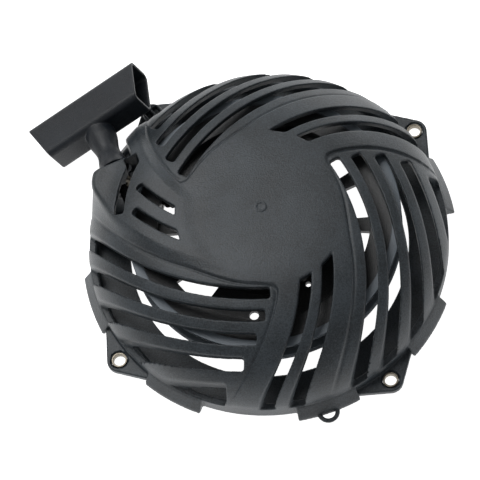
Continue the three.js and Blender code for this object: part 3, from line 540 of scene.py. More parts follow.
def all_slots(p):
    nearest = np.full(len(p), np.inf)
    beyond = COVER_RADIUS + 12
    start = (np.zeros(2), SIDE_SLOT_START)
    in_disc = SLOT_INNER_RADIUS - radius_of(p)
    for sector in range(SECTORS):
        q = spun(p, 360 / SECTORS * sector)
        for place in MAIN_SLOTS:
            slot = slot_field(q, place, SLOT_WIDTH, slot_ends(sector), 1, beyond)
            nearest = np.minimum(nearest, slot)
        short = sector == DUCT_SECTOR
        width, reach = (SHORT_SLOT_WIDTH, SHORT_SLOT_REACH) if short else (SLOT_WIDTH, beyond)
        for place in SIDE_SLOTS:
            slot = slot_field(q, place, width, start, -1, reach)
            nearest = np.minimum(nearest, smooth_max(slot, in_disc, FILLET))
    return nearest


def panel_drop(p):
    """How far the skin lies below the plain crown: the slots' panels are slightly sunken."""
    drop = np.zeros(len(p))
    for sector in range(SECTORS):
        q = spun(p, 360 / SECTORS * sector)
        centre, radius = slot_ends(sector)
        near = radius + PANEL_END_MARGIN - away_from(q, centre)
        arm = away_from(q, slot_centre) - (FIRST_SLOT_RADIUS - PANEL_MARGIN)
        middle = radius_of(q) - PANEL_INNER_RADIUS
        inside = smooth_min(smooth_min(near, arm, PANEL_CORNER), middle, PANEL_CORNER)
        moat = PANEL_MOAT_DEPTH * np.exp(-(((inside - PANEL_MOAT_WIDTH) / PANEL_MOAT_WIDTH) ** 2))
        step = PANEL_DEPTH * smooth_step(inside / PANEL_STEP_WIDTH + 0.5)
        drop = np.maximum(drop, step + moat)
    return drop


def slope_share(distance):
    """Climb of a nearly straight slope with slightly rounded ends, from 0 to 1."""
    share = np.clip(distance / ARM_SLOPE_WIDTH, 0.0, 1.0)
    return (share + smooth_step(share)) / 2


def arm_rise(p, radius):
    """How far the arm in front of the duct stands above the plain crown."""
    foot_rise, foot_width = 0.5, 8.0
    climb = slope_share(away_from(p, HANDLE_SIDE_CENTRE) - HANDLE_SIDE_END_RADIUS - PANEL_END_MARGIN)
    ledge = slope_share(FIRST_SLOT_RADIUS - PANEL_MARGIN - away_from(p, duct_centre))
    outward = smooth_step((radius - ARM_INNER_RADIUS) / (ARM_OUTER_RADIUS - ARM_INNER_RADIUS))
    rise = (foot_rise + ARM_RISE * outward) * smooth_step((radius - ARM_INNER_RADIUS) / foot_width)
    return np.where(p[:, 0] < 0, rise * np.minimum(climb, ledge), 0.0)


def rope_coordinates(p):
    """Across towards the axis, along outwards from the mouth, and height."""
    x, y = p[:, 0] - mouth[0], p[:, 1] - mouth[1]
    return x * rope_across[0] + y * rope_across[1], x * rope_along[0] + y * rope_along[1], p[:, 2]


def skin_field(p):
    """The cover's outside, filled in: crown, sunken panels, raised arm and rope duct."""
    radius = radius_of(p)
    dome = crown(radius, p[:, 2] + panel_drop(p) - arm_rise(p, radius))
    x, y, z = rope_coordinates(p)
    at_end, at_rim, at_crown = DUCT_FILLETS
    duct = box_field(x, y, z, DUCT_ACROSS, DUCT_ALONG, (DUCT_LOW, DUCT_HIGH), DUCT_CORNER)
    duct = smooth_max(duct, away_from(p, duct_centre) - DUCT_SWEEP_RADIUS, at_end)
    duct = smooth_max(duct, radius - COVER_RADIUS + DUCT_SETBACK, at_rim)
    return smooth_min(dome, duct, at_crown)


def duct_hollow(x, y, z):
    """Room inside the duct: rope channel, eyelet seat and the cup for the handle's stem."""
    seat_end = -CUP_DEPTH
    seat_start = seat_end - EYELET_LENGTH
    reach = np.hypot(x, z - ROPE_HEIGHT)

    def bore(radius, low, high):
        return all_of(reach - radius, outside(y, low, high))

    overlap, throat_length, past_mouth = 1.0, 3.0, 4.0
    throat_start = seat_start - throat_length
    channel_along = (CHANNEL_START, throat_start + overlap)
    channel = box_field(x, y, z, CHANNEL_ACROSS, channel_along, CHANNEL_UP, CHANNEL_CORNER)
    throat = bore(ROPE_BORE, throat_start, seat_start + overlap)
    seat = bore(EYELET_OUTER + FIT_GAP, seat_start, seat_end + overlap)
    return any_of(channel, throat, seat, bore(CUP_RADIUS, seat_end, past_mouth))


def rope_window(p, x, y):
    """The crescent opening over the rope, with a wide end beside the eyelet."""
    radius = radius_of(p)
    inner, outer = WINDOW_RADII
    tail = (angle_of(p) % 360 - WINDOW_TAIL_ANGLE) * DEGREE * outer
    band = np.abs(radius - (inner + outer) / 2) - (outer - inner) / 2
    limits = all_of(y - WINDOW_MOUTH_ALONG[1], x - WINDOW_MOUTH_ACROSS[1], tail)
    crescent = smooth_max(band, limits, WIDE_FILLET)
    any_height = (-99, 99)
    wide = box_field(x, y, p[:, 2], WINDOW_MOUTH_ACROSS, WINDOW_MOUTH_ALONG, any_height, WIDE_FILLET)
    plan = smooth_min(crescent, smooth_max(wide, inner - radius, FILLET), FILLET)
    return all_of(plan, WINDOW_LOW - p[:, 2])


def ear_field(q):
    """One ear with the sloping strips beside it, at angle zero."""
    side = math.radians(EAR_SIDE_ANGLE)
    x, y = q[:, 0] - ear_radius_to_hole, np.abs(q[:, 1])
    flank = x * math.cos(side) + y * math.sin(side)
    along = y * math.cos(side) - x * math.sin(side)
    plan = np.where(along > 0, flank, np.hypot(x, y)) - EAR_RADIUS
    ear = smooth_max(all_of(plan, EAR_ROOT - q[:, 0]), outside(q[:, 2], 0, EAR_THICKNESS), EDGE_ROUNDING)
    radius = radius_of(q)
    ends = outside(np.abs(angle_of(q)), EAR_HALF_ANGLE, WING_HALF_ANGLE) * DEGREE * COVER_RADIUS
    fall = (WING_HEIGHT - WING_EDGE_HEIGHT) / (WING_PROUD - WING_LEDGE)
    top = WING_HEIGHT - fall * (radius - COVER_RADIUS - WING_LEDGE)
    slope = (q[:, 2] - top) / math.hypot(1.0, fall)
    strip = smooth_max(radius - COVER_RADIUS - WING_PROUD, STRIP_ROOT - radius, FILLET)
    strip = smooth_max(smooth_max(strip, slope, EDGE), ends, EDGE)
    strip = smooth_max(strip, outside(q[:, 2], 0, WING_HEIGHT), EDGE)
    return any_of(ear, strip)


def socket_lug(p):
    """The lug that closes one ear over its sleeve, with two shallow hollows beside the rim."""
    q = spun(p, SOCKET_EAR_ANGLE)
    x, y, z = q[:, 0] - ear_radius_to_hole, q[:, 1], q[:, 2]
    plan = np.where(x > 0, np.hypot(x, y), np.abs(y)) - SOCKET_LUG_RADIUS
    into_ear, below_strip = 0.5, 1.0
    height = outside(z, EAR_THICKNESS - into_ear, WING_HEIGHT - below_strip)
    lug = smooth_max(all_of(plan, STRIP_ROOT - q[:, 0]), height, EDGE)
    along, beside, up = (-3.6, 2.0), (0.8, 4.0), (EAR_THICKNESS + 1.2, 20.0)
    hollows = box_field(x, np.abs(y), z, along, beside, up, POST_EDGE)
    return smooth_max(lug, -hollows, FINE_EDGE)


def wire_loop(p):
    """Small loop that sticks out from under one strip."""
    q = spun(p, LOOP_ANGLE)
    inner, outer = LOOP_RADII
    under_strip = 0.8
    x = q[:, 0] - COVER_RADIUS - WING_PROUD + under_strip
    from_line = np.abs(np.hypot(x, q[:, 1]) - (inner + outer) / 2)
    round_bar = np.hypot(from_line, q[:, 2] - LOOP_THICKNESS / 2) - LOOP_THICKNESS / 2
    return all_of(round_bar, -x)


def post_field(p, radius):
    z = p[:, 2]
    into_crown = 1
    top = COVER_HEIGHT - COVER_WALL + into_crown
    boss = smooth_max(radius - POST_BOSS_RADIUS, outside(z, POST_SHOULDER, top), POST_EDGE)
    journal = smooth_max(radius - POST_JOURNAL_RADIUS, outside(z, POST_END, top), POST_EDGE)
    bore = all_of(radius - POST_BORE, z - POST_END - POST_BORE_DEPTH)
    return all_of(any_of(boss, journal), -bore)


def duct_walls(x, y, z, radius, skin):
    """Solid round the duct's mouth, clear of the pulley and its spring case."""
    gap = 3.0
    pulley_room = all_of(radius - PULLEY_RADIUS - gap, z - SPRING_CASE_TOP)
    walls = box_field(x, y, z, WALLS_ACROSS, WALLS_ALONG, WALLS_UP, FINE_EDGE)
    return all_of(walls, skin + WALLS_DEPTH, -pulley_room)


def sleeve_hole(p, angle):
    """Bore for an ear's sleeve, open above in a shallow recess except under the closed lug."""
    reach = away_from(spun(p, angle), (ear_radius_to_hole, 0))
    bore = reach - SLEEVE_OUTER_RADIUS - FIT_GAP
    if angle == SOCKET_EAR_ANGLE:
        return all_of(bore, p[:, 2] - EAR_THICKNESS)
    low = EAR_THICKNESS - SLEEVE_RECESS_DEPTH
    return any_of(bore, all_of(reach - SLEEVE_RECESS_RADIUS, low - p[:, 2]))


def pip_field(radius, z):
    """The faint ring in the middle of the crown."""
    thickness, flattening = 0.45, 1.6
    return np.hypot(radius - PIP_RADIUS, (z - COVER_HEIGHT) * flattening) - thickness


def cover_field(p):
    """The whole moulding: shell, base ring, duct, ears, slots and post."""
    radius = radius_of(p)
    z = p[:, 2]
    x, y, _ = rope_coordinates(p)
    skin = skin_field(p)
    body = outside(skin, -COVER_WALL, 0)
    lip = all_of(outside(radius, BASE_RING_INNER, COVER_RADIUS - 1), z - BASE_RING_THICKNESS)
    body = smooth_min(body, lip, WIDE_FILLET)
    body = smooth_min(body, duct_walls(x, y, z, radius, skin), WIDE_FILLET)
    pocket_along, pocket_up = (-MOUTH_SETBACK, POCKET_END), (POCKET_FLOOR, ABOVE_ALL)
    pocket = box_field(x, y, z, POCKET_ACROSS, pocket_along, pocket_up, FILLET)
    body = smooth_max(body, -pocket, FILLET)
    ears = any_of(socket_lug(p), wire_loop(p), *(ear_field(spun(p, angle)) for angle in EAR_ANGLES))
    body = smooth_min(body, ears, FILLET)
    body = smooth_max(body, -all_slots(p), EDGE_ROUNDING)
    hollow = any_of(duct_hollow(x, y, z), rope_window(p, x, y))
    body = smooth_max(body, -hollow, EDGE)
    body = all_of(body, *(-sleeve_hole(p, angle) for angle in EAR_ANGLES))
    body = smooth_min(body, post_field(p, radius), POST_FILLET)
    body = smooth_min(body, pip_field(radius, z), FINE_EDGE)
    return smooth_max(body, -z, FINE_EDGE)


def make_cover():
    low, high = (-104.0, -104.0, -1.2), (104.0, 104.0, 56.8)
    pitch = 0.85
    share_kept = 0.34
    cover = fielded("cover_shell", cover_field, low, high, pitch, share_kept)
    return fit(cover, "housing", "cover_plastic", cover_plastic, "cover")


# ---- materials ----
class Shader:
    """A material with its Principled shader, and short calls for its nodes."""

    def __init__(self, name, roughness, metallic=0.0, specular=0.5):
        self.material = bpy.data.materials.new(name)
        self.material.use_nodes = True
        self.tree = self.material.node_tree
        self.principled = self.tree.nodes["Principled BSDF"]
        self.principled.inputs["Roughness"].default_value = roughness
        self.principled.inputs["Metallic"].default_value = metallic
        self.principled.inputs["Specular IOR Level"].default_value = specular
        self.place = self.node("ShaderNodeTexCoord").outputs["Object"]

    def node(self, kind, **values):
        made = self.tree.nodes.new(kind)
        for key, value in values.items():
            if hasattr(made, key):
                setattr(made, key, value)
            else:
                self.put(value, made.inputs[key.replace("_", " ")])
        return made

    def put(self, value, socket):
        if isinstance(value, bpy.types.NodeSocket):
            self.tree.links.new(value, socket)
        else:
            socket.default_value = value

    def noise(self, scale, detail=3.0, roughness=0.5):
        values = {"Vector": self.place, "Scale": scale, "Detail": detail, "Roughness": roughness}
        return self.node("ShaderNodeTexNoise", **values).outputs["Fac"]

    def span(self, value, low, high, new_low=0.0, new_high=1.0):
        ends = {"From_Min": low, "From_Max": high, "To_Min": new_low, "To_Max": new_high}
        return self.node("ShaderNodeMapRange", clamp=True, Value=value, **ends).outputs["Result"]

    def maths(self, operation, a, b=0.0):
        found = self.node("ShaderNodeMath", operation=operation)
        self.put(a, found.inputs[0])
        self.put(b, found.inputs[1])
        return found.outputs["Value"]

    def radius(self):
        """Distance from the shaft's axis."""
        parts = self.node("ShaderNodeSeparateXYZ", Vector=self.place).outputs
        x, y = parts["X"], parts["Y"]
        square = self.maths("ADD", self.maths("MULTIPLY", x, x), self.maths("MULTIPLY", y, y))
        return self.maths("SQRT", square)

    def mix(self, share, a, b):
        found = self.node("ShaderNodeMix", data_type="RGBA", Factor=share)
        self.put(a, found.inputs[6])
        self.put(b, found.inputs[7])
        return found.outputs[2]

    def ramp(self, value, stops):
        found = self.node("ShaderNodeValToRGB", Fac=value)
        band = found.color_ramp
        while len(band.elements) < len(stops):
            band.elements.new(0.5)
        for element, (position, colour) in zip(band.elements, stops):
            element.position = position
            element.color = (*colour, 1.0)
        return found.outputs["Color"]

    def bump(self, height, strength, distance, before=None):
        found = self.node("ShaderNodeBump", Strength=strength, Distance=distance, Height=height)
        if before is not None:
            self.put(before, found.inputs["Normal"])
        return found.outputs["Normal"]

    def finish(self, colour=None, roughness=None, normal=None):
        for value, key in ((colour, "Base Color"), (roughness, "Roughness"), (normal, "Normal")):
            if value is not None:
                self.put(value, self.principled.inputs[key])
        return self.material


def moulded_plastic(name, dark, light, roughness, painted_highlight_from=None):
    """Grained moulded plastic with faint clouding and dust. From a given radius outwards it is painted
    paler, a painted highlight standing in for light on a lit rim.
    """
    grain, depth = 1150.0, 0.0003
    # the second grey is a painted highlight: a paler blue-grey standing in for light falling on a lit rim
    dust_grey, painted_highlight_grey = (0.13, 0.13, 0.13, 1.0), (0.17, 0.20, 0.23, 1.0)
    s = Shader(name, roughness)
    cloud = s.noise(38.0, 4.0, 0.55)
    speckle = s.noise(grain, 3.0, 0.65)
    tone = s.maths("ADD", s.maths("MULTIPLY", cloud, 0.4), s.maths("MULTIPLY", speckle, 0.6))
    colour = s.ramp(s.span(tone, 0.41, 0.59), ((0.0, dark), (1.0, light)))
    dust = s.span(s.noise(420.0, 2.0, 0.7), 0.62, 0.78, 0.0, 0.14)
    colour = s.mix(dust, colour, dust_grey)
    # painted highlight: paler from the given radius outwards, in place of light falling on the pulley's
    # raised rim
    if painted_highlight_from is not None:
        painted_highlight_share = s.span(s.radius(), (painted_highlight_from - 0.6) * MM, (painted_highlight_from + 0.4) * MM, 0.0, 0.85)
        colour = s.mix(painted_highlight_share, colour, painted_highlight_grey)
    fine = s.noise(grain * 2.4, 3.0, 0.62)
    flow = s.noise(16.0, 3.0, 0.5)
    uneven = s.maths("ADD", speckle, s.maths("MULTIPLY", flow, 1.4))
    gloss = s.span(uneven, 0.85, 1.6, roughness - 0.08, roughness + 0.09)
    normal = s.bump(speckle, 0.7, depth)
    normal = s.bump(fine, 0.4, depth * 0.3, normal)
    return s.finish(colour, gloss, normal)


def bare_metal(name, dark, light, roughness):
    """Plated or drawn metal: a fine rough grain, with patches of dulled plating."""
    s = Shader(name, roughness, metallic=1.0)
    scratch = s.noise(900.0, 5.0, 0.7)
    patch = s.noise(130.0, 3.0, 0.6)
    colour = s.ramp(s.span(patch, 0.3, 0.7), ((0.0, dark), (1.0, light)))
    gloss = s.span(s.maths("ADD", scratch, patch), 0.7, 1.35, roughness - 0.08, roughness + 0.16)
    normal = s.bump(scratch, 0.25, 0.00005)
    return s.finish(colour, gloss, normal)


def braided_rope(name, dark, light):
    """Tightly braided starter cord: diagonal strands with fuzz."""
    s = Shader(name, 0.85, specular=0.25)
    weave = s.node("ShaderNodeTexVoronoi", Scale=1150.0, Vector=s.place)
    strand = s.span(weave.outputs["Distance"], 0.0, 0.7, 1.0, 0.0)
    fuzz = s.noise(5200.0, 3.0, 0.7)
    tone = s.maths("ADD", s.maths("MULTIPLY", strand, 0.7), s.maths("MULTIPLY", fuzz, 0.3))
    colour = s.ramp(tone, ((0.15, dark), (0.85, light)))
    normal = s.bump(strand, 0.8, 0.00025)
    normal = s.bump(fuzz, 0.4, 0.00006, normal)
    return s.finish(colour, s.span(fuzz, 0.3, 0.7, 0.75, 0.95), normal)


def dress(piece, material):
    piece.data.materials.clear()
    piece.data.materials.append(material)


def shade_by_angle(piece, degrees=SHARP_ANGLE):
    piece.data.shade_smooth()
    piece.data.set_sharp_from_angle(angle=math.radians(degrees))


# ---- stage, light and camera ----
def make_stage():
    mesh = bpy.data.meshes.new("floor")
    half, drop = 6.0, -0.0006
    corners = [(x * half, y * half, drop) for x, y in ((-1, -1), (1, -1), (1, 1), (-1, 1))]
    mesh.from_pydata(corners, [], [(0, 1, 2, 3)])
    floor = new_object("floor", mesh)
    s = Shader("pale_floor", 0.9, specular=0.2)
    s.principled.inputs["Emission Strength"].default_value = 1.0
    s.principled.inputs["Emission Color"].default_value = (1.0, 1.0, 1.0, 1.0)
    s.finish((0.9, 0.9, 0.9, 1.0))
    dress(floor, s.material)


def area_light(name, place, target, size, power):
    data = bpy.data.lights.new(name, "AREA")
    data.shape = "SQUARE"
    data.size = size
    data.energy = power
    lamp = new_object(name, data)
    lamp.location = place
    lamp.rotation_mode = "QUATERNION"
    lamp.rotation_quaternion = (Vector(target) - Vector(place)).to_track_quat("-Z", "Y")


def make_light():
    world = bpy.data.worlds.new("studio")
    world.use_nodes = True
    background = world.node_tree.nodes["Background"]
    background.inputs["Color"].default_value = (0.97, 0.985, 1.0, 1.0)
    background.inputs["Strength"].default_value = 0.25
    bpy.context.scene.world = world
    area_light("key", (-0.7, 0.5, 1.5), (0, 0, 0.02), size=1.0, power=16.0)
    area_light("back", (0.3, 1.5, 0.4), (0, 0, 0.03), size=0.6, power=6.0)
    view = bpy.context.scene.view_settings
    view.view_transform = "Standard"
    view.look = "None"


def make_camera():
    data = bpy.data.cameras.new("camera")
    data.lens = 190.9
    data.sensor_width = 36.0
    data.dof.use_dof = False
    data.clip_start, data.clip_end = 0.05, 20.0
    camera = new_object("camera", data)
    place = (0.1749, -0.5446, 1.3054)
    right = Vector((0.98884, 0.11186, -0.09842))
    up = Vector((-0.0645, 0.91686, 0.39393))
    turn = Matrix((right, up, right.cross(up))).transposed()
    camera.matrix_world = Matrix.Translation(place) @ turn.to_4x4()
    bpy.context.scene.camera = camera


# ---- turned, cut and swept pieces ----
def rounded(profile, radius, steps=3):
    """A closed outline with each corner replaced by a short curve."""
    made = []
    count = len(profile)
    for i in range(count):
        before, here, after = (Vector(profile[(i + k) % count]) for k in (-1, 0, 1))
        cut = min(radius, (before - here).length * 0.45, (after - here).length * 0.45)
        a = here + (before - here).normalized() * cut
        b = here + (after - here).normalized() * cut
        for k in range(steps + 1):
            t = k / steps
            made.append(tuple(a * (1 - t) ** 2 + here * 2 * t * (1 - t) + b * t**2))
    return made


def mesh_piece(name, points, faces, degrees=SHARP_ANGLE):
    mesh = bpy.data.meshes.new(name)
    mesh.from_pydata([Vector(p) * MM for p in points], [], faces)
    tidy = bmesh.new()
    tidy.from_mesh(mesh)
    bmesh.ops.recalc_face_normals(tidy, faces=tidy.faces)
    tidy.to_mesh(mesh)
    tidy.free()
    piece = new_object(name, mesh)
    shade_by_angle(piece, degrees)
    return piece


def turned(name, profile, radius, segments, place=(0, 0, 0)):
    """A body turned about Z from a closed outline of (radius, height)."""
    outline = rounded(profile, radius)
    count = len(outline)
    points, faces = [], []
    for k in range(segments):
        angle = 2 * math.pi * k / segments
        c, s = math.cos(angle), math.sin(angle)
        points += [(r * c + place[0], r * s + place[1], z + place[2]) for r, z in outline]
    for k in range(segments):
        here, there = k * count, (k + 1) % segments * count
        for i in range(count):
            j = (i + 1) % count
            faces.append((here + i, there + i, there + j, here + j))
    return mesh_piece(name, points, faces)


def ring(name, inner, outer, low, high, edge, segments=72, place=(0, 0, 0)):
    return turned(name, [(inner, low), (outer, low), (outer, high), (inner, high)], edge, segments, place)


def slab(name, outline, low, high, edge=0.0):
    """A flat outline pushed up from one height to another."""
    count = len(outline)
    points = [(x, y, z) for z in (low, high) for x, y in outline]
    faces = [tuple(reversed(range(count))), tuple(range(count, 2 * count))]
    faces += [(i, (i + 1) % count, count + (i + 1) % count, count + i) for i in range(count)]
    piece = mesh_piece(name, points, faces)
    return soften(piece, edge) if edge else piece


def applied(piece):
    """The piece's modifiers made permanent."""
    seen = piece.evaluated_get(bpy.context.evaluated_depsgraph_get())
    mesh = bpy.data.meshes.new_from_object(seen)
    old = piece.data
    piece.modifiers.clear()
    piece.data = mesh
    mesh.name = piece.name
    bpy.data.meshes.remove(old)
    return piece


def soften(piece, width):
    edge = piece.modifiers.new("edge", "BEVEL")
    edge.width = width * MM
    edge.segments = 2
    edge.limit_method = "ANGLE"
    edge.angle_limit = math.radians(SHARP_ANGLE)
    applied(piece)
    shade_by_angle(piece)
    return piece


def combine(piece, other, operation):
    tool = piece.modifiers.new(operation.lower(), "BOOLEAN")
    tool.operation = operation
    tool.solver = "EXACT"
    tool.object = other
    applied(piece)
    bpy.data.objects.remove(other)
    shade_by_angle(piece)
    return piece


def merge(piece, *others):
    """Several meshes in one piece."""
    whole = bmesh.new()
    whole.from_mesh(piece.data)
    for other in others:
        whole.from_mesh(other.data)
        bpy.data.objects.remove(other)
    whole.to_mesh(piece.data)
    whole.free()
    return piece


def swept(name, path, section, closed=False):
    """A section of (sideways, up) points carried along a path; up stays close to Z."""
    sharp = 50.0
    count, rings = len(section), len(path)
    points, faces = [], []
    path = [Vector(p) for p in path]
    for i, here in enumerate(path):
        ahead = path[(i + 1) % rings] if closed or i + 1 < rings else here
        behind = path[i - 1] if closed or i > 0 else here
        along = (ahead - behind).normalized()
        side = Vector((0, 0, 1)).cross(along)
        side = side.normalized() if side.length > 1e-6 else Vector((1, 0, 0))
        up = along.cross(side)
        points += [here + side * u + up * v for u, v in section]
    for i in range(rings if closed else rings - 1):
        a, b = i * count, (i + 1) % rings * count
        for k in range(count):
            m = (k + 1) % count
            faces.append((a + k, a + m, b + m, b + k))
    if not closed:
        faces.append(tuple(reversed(range(count))))
        faces.append(tuple(range((rings - 1) * count, rings * count)))
    return mesh_piece(name, points, faces, sharp)


def circle(radius, count, place=(0, 0)):
    x, y = place
    step = 2 * math.pi / count
    return [(x + radius * math.cos(k * step), y + radius * math.sin(k * step)) for k in range(count)]


def knot(name, centre, size, along):
    """A figure of three loops of rope, pulled tight."""
    along = Vector(along).normalized()
    side = along.cross(Vector((0, 0, 1))).normalized()
    up = side.cross(along)
    wide, deep, thick, steps = size * 0.26, size * 0.42, size * 0.42, 72
    path = []
    for i in range(steps):
        t = 2 * math.pi * i / steps
        u = math.sin(t) + 2 * math.sin(2 * t)
        v = math.cos(t) - 2 * math.cos(2 * t)
        w = -math.sin(3 * t)
        path.append(Vector(centre) + side * (u * wide) + up * (v * wide) + along * (w * deep))
    return swept(name, path, circle(thick, 14), closed=True)


def fit(piece, body, slot, material, *nodes):
    """Material, body and the CAD nodes that the piece stands for."""
    dress(piece, material)
    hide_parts(*nodes)
    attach(piece, body)
    return piece


# ---- reel ----
def pulley_profile():
    play, shoulder_gap = 0.1, 0.3
    bore = POST_JOURNAL_RADIUS + play
    case_inner, case_outer = SPRING_CASE_RADII
    web_low, web_high = WEB_HEIGHTS
    low, high = GROOVE_LOW - FLANGE_THICKNESS, GROOVE_HIGH + FLANGE_THICKNESS
    hub_top = POST_SHOULDER - shoulder_gap
    return [
        (bore, PIN_END), (HUB_RADIUS, PIN_END), (HUB_RADIUS, CARRIER_FACE),
        (CARRIER_RADIUS, CARRIER_FACE), (CARRIER_RADIUS, web_low), (GROOVE_INSIDE, web_low),
        (GROOVE_INSIDE, low), (LIP_INNER, low), (LIP_INNER, LIP_LOW), (PULLEY_RADIUS, LIP_LOW),
        (PULLEY_RADIUS, GROOVE_LOW), (GROOVE_RADIUS, GROOVE_LOW), (GROOVE_RADIUS, GROOVE_HIGH),
        (PULLEY_RADIUS, GROOVE_HIGH), (PULLEY_RADIUS, high + RIM_RISE), (RIM_INNER, high + RIM_RISE),
        (RIM_INNER, high), (GROOVE_INSIDE, high), (GROOVE_INSIDE, web_high), (case_outer, web_high),
        (case_outer, SPRING_CASE_TOP), (case_inner, SPRING_CASE_TOP), (case_inner, SPRING_FLOOR),
        (HUB_RADIUS, SPRING_FLOOR), (HUB_RADIUS, hub_top), (bore, hub_top),
    ]


def window_outline(middle):
    """Part of a ring with rounded corners."""
    steps, corner = 12, 1.5
    inner, outer = WINDOW_RING
    angles = [middle + WINDOW_SPAN * (k / steps - 0.5) for k in range(steps + 1)]
    spots = [(outer, angle) for angle in angles] + [(inner, angle) for angle in reversed(angles)]
    return rounded([tuple(polar(*spot)) for spot in spots], corner, 2)


def make_pulley():
    pulley = turned("pulley_wheel", pulley_profile(), 0.5, 144)
    outlines = [window_outline(middle) for middle in WINDOW_CENTRES]
    for distance, angle, radius in WEB_HOLES:
        outlines += [circle(radius, 32, polar(distance, angle + turn)) for turn in (0, 180)]
    cuts = [slab("window", outline, CARRIER_FACE, SPRING_FLOOR) for outline in outlines]
    combine(pulley, merge(*cuts), "DIFFERENCE")
    for angle in PAWL_ANGLES:
        outline = circle(PAWL_PIN_RADIUS, 40, polar(PAWL_PIVOT_RADIUS, angle))
        combine(pulley, slab("pin", outline, PIN_END, CARRIER_FACE + 0.8, 0.35), "UNION")
    return fit(pulley, "reel", "pulley_plastic", pulley_plastic, "pulley")


def make_spring():
    """Flat strip: many turns pressed against its case, then a few open turns to the post."""
    packed, opened, per_turn = 12, 3, 60
    outer, packed_inner, inner = 38.0, 30.5, 14.6
    start_angle, middle_height, half_width, half_thickness = 80, 38.6, 7.1, 0.22
    path = []
    for i in range((packed + opened) * per_turn + 1):
        turns = i / per_turn
        if turns <= packed:
            radius = outer - (outer - packed_inner) * turns / packed
        else:
            share = (turns - packed) / opened
            radius = packed_inner - (packed_inner - inner) * share**1.1
        path.append((*polar(radius - 0.4, start_angle - 360 * turns), middle_height))
    corners = ((-1, -1), (1, -1), (1, 1), (-1, 1))
    strip = swept("spring_coil", path, [(half_thickness * u, half_width * v) for u, v in corners])
    return fit(strip, "reel", "spring_steel", spring_steel, "recoil_spring")


def make_winding():
    """The wound rope: two turns side by side, two more over them, up to the tangent point."""
    inner, outer, top, wound_radius = 62.6, 65.0, 32.35, 2.1
    total, steps = KNOT_ANGLE - OUTLET_ANGLE - 90 + 4 * 360, 400
    outward_at, outward_length = 1.7, 0.35
    crossings = ((0.55, 0.6, -4.7), (2.9, 0.4, 4.7), (3.45, 0.4, -2.35))  # turn, length, rise
    path = []
    for i in range(steps + 1):
        turn = total / 360 * i / steps
        radius = inner + (outer - inner) * smooth_step((turn - outward_at) / outward_length)
        height = top + sum(rise * smooth_step((turn - at) / length) for at, length, rise in crossings)
        path.append((*polar(radius, KNOT_ANGLE - 360 * turn), height))
    piece = swept("rope_turns", path, circle(wound_radius, 18))
    return fit(piece, "reel", "rope", rope_black, "rope_winding")


def make_anchor_knot():
    """The knot at the rope's end, with the short length through the groove's wall."""
    x, y = polar(KNOT_DISTANCE, KNOT_ANGLE)
    ball = knot("anchor_knot_loops", (x, y, KNOT_HEIGHT), size=3.3, along=(x, y, 0))
    path = [(*polar(KNOT_DISTANCE + reach, KNOT_ANGLE), KNOT_HEIGHT) for reach in (1.0, 3.5, 6.0)]
    tail = swept("tail", path, circle(ROPE_RADIUS, 16))
    return fit(merge(ball, tail), "reel", "rope", rope_black, "anchor_knot")


# ---- pawls and plate ----
def pawl_place(index):
    x, y = polar(PAWL_PIVOT_RADIUS, PAWL_ANGLES[index])
    turn = Matrix.Rotation(math.radians(PAWL_ANGLES[index]), 4, "Z")
    return Matrix.Translation((x * MM, y * MM, 0)) @ turn


def make_pawl(index):
    head, nose, hole, low, high = 5.6, 23.0, 3.1, 15.9, 20.0
    outline = circle(head, 32)[:17]
    outline += [(-3.5, -3), (-3.5, 2 - nose), (-1, -nose), (3.2, 1 - nose), (4.4, -nose / 2)]
    pawl = slab(f"pawl_lever_{index + 1}", outline, low, high)
    combine(pawl, slab("hole", circle(hole, 40), low - 2, high + 2), "DIFFERENCE")
    soften(pawl, 0.3)
    pawl.data.transform(pawl_place(index))
    return fit(pawl, f"pawl_{index + 1}", "zinc_steel", zinc_steel, f"pawl_{index + 1}")


def make_pawl_spring(index):
    """A short coil over the pawl, with a straight leg along it."""
    coil, wire, turns, low, rise, steps = 4.1, 0.35, 2.4, 20.35, 1.1, 70
    sideways, along = 0.25, -1.5
    path = []
    for k in range(steps + 1):
        angle = 2 * math.pi * turns * k / steps
        path.append((coil * math.cos(angle), coil * math.sin(angle), low + rise * k / steps))
    x, y, z = path[-1]
    path += [(x + sideways * k, y + along * k, z) for k in range(1, 8)]
    spring = swept(f"pawl_wire_{index + 1}", path, circle(wire, 8))
    spring.data.transform(pawl_place(index))
    return fit(spring, "reel", "spring_steel", spring_steel, f"pawl_spring_{index + 1}")


def make_plate():
    inner, outer, low, high = 8.3, 28.0, 10.6, 13.0
    peg_distance, peg_angle, peg_radius, peg_top = 24.5, -12, 1.5, 19.0
    hole_distance, hole_radius = 20.5, 2.6
    plate = ring("drive_plate", inner, outer, low, high, 0.5, 96)
    for turn in (0, 180):
        peg = circle(peg_radius, 24, polar(peg_distance, peg_angle + turn))
        combine(plate, slab("peg", peg, high - 1, peg_top, 0.25), "UNION")
        for angle in (40, 75, 110):
            hole = circle(hole_radius, 32, polar(hole_distance, angle + turn))
            combine(plate, slab("hole", hole, low - 1, high + 1), "DIFFERENCE")
    return fit(plate, "plate", "zinc_steel", zinc_steel, "pawl_plate")


def make_friction_spring():
    """An open ring of wire whose ends turn in and grip the pulley's hub."""
    radius, grip_radius, height, wire = 16.0, 13.4, 14.0, 0.65
    first, last, turned_in, steps = 20, 340, 8, 80
    spots = [(radius, first + (last - first) * k / steps) for k in range(steps + 1)]
    spots = [(grip_radius, first - turned_in), *spots, (grip_radius, last + turned_in)]
    path = [(*polar(*spot), height) for spot in spots]
    spring = swept("friction_wire", path, circle(wire, 10))
    return fit(spring, "plate", "spring_steel", spring_steel, "friction_spring")


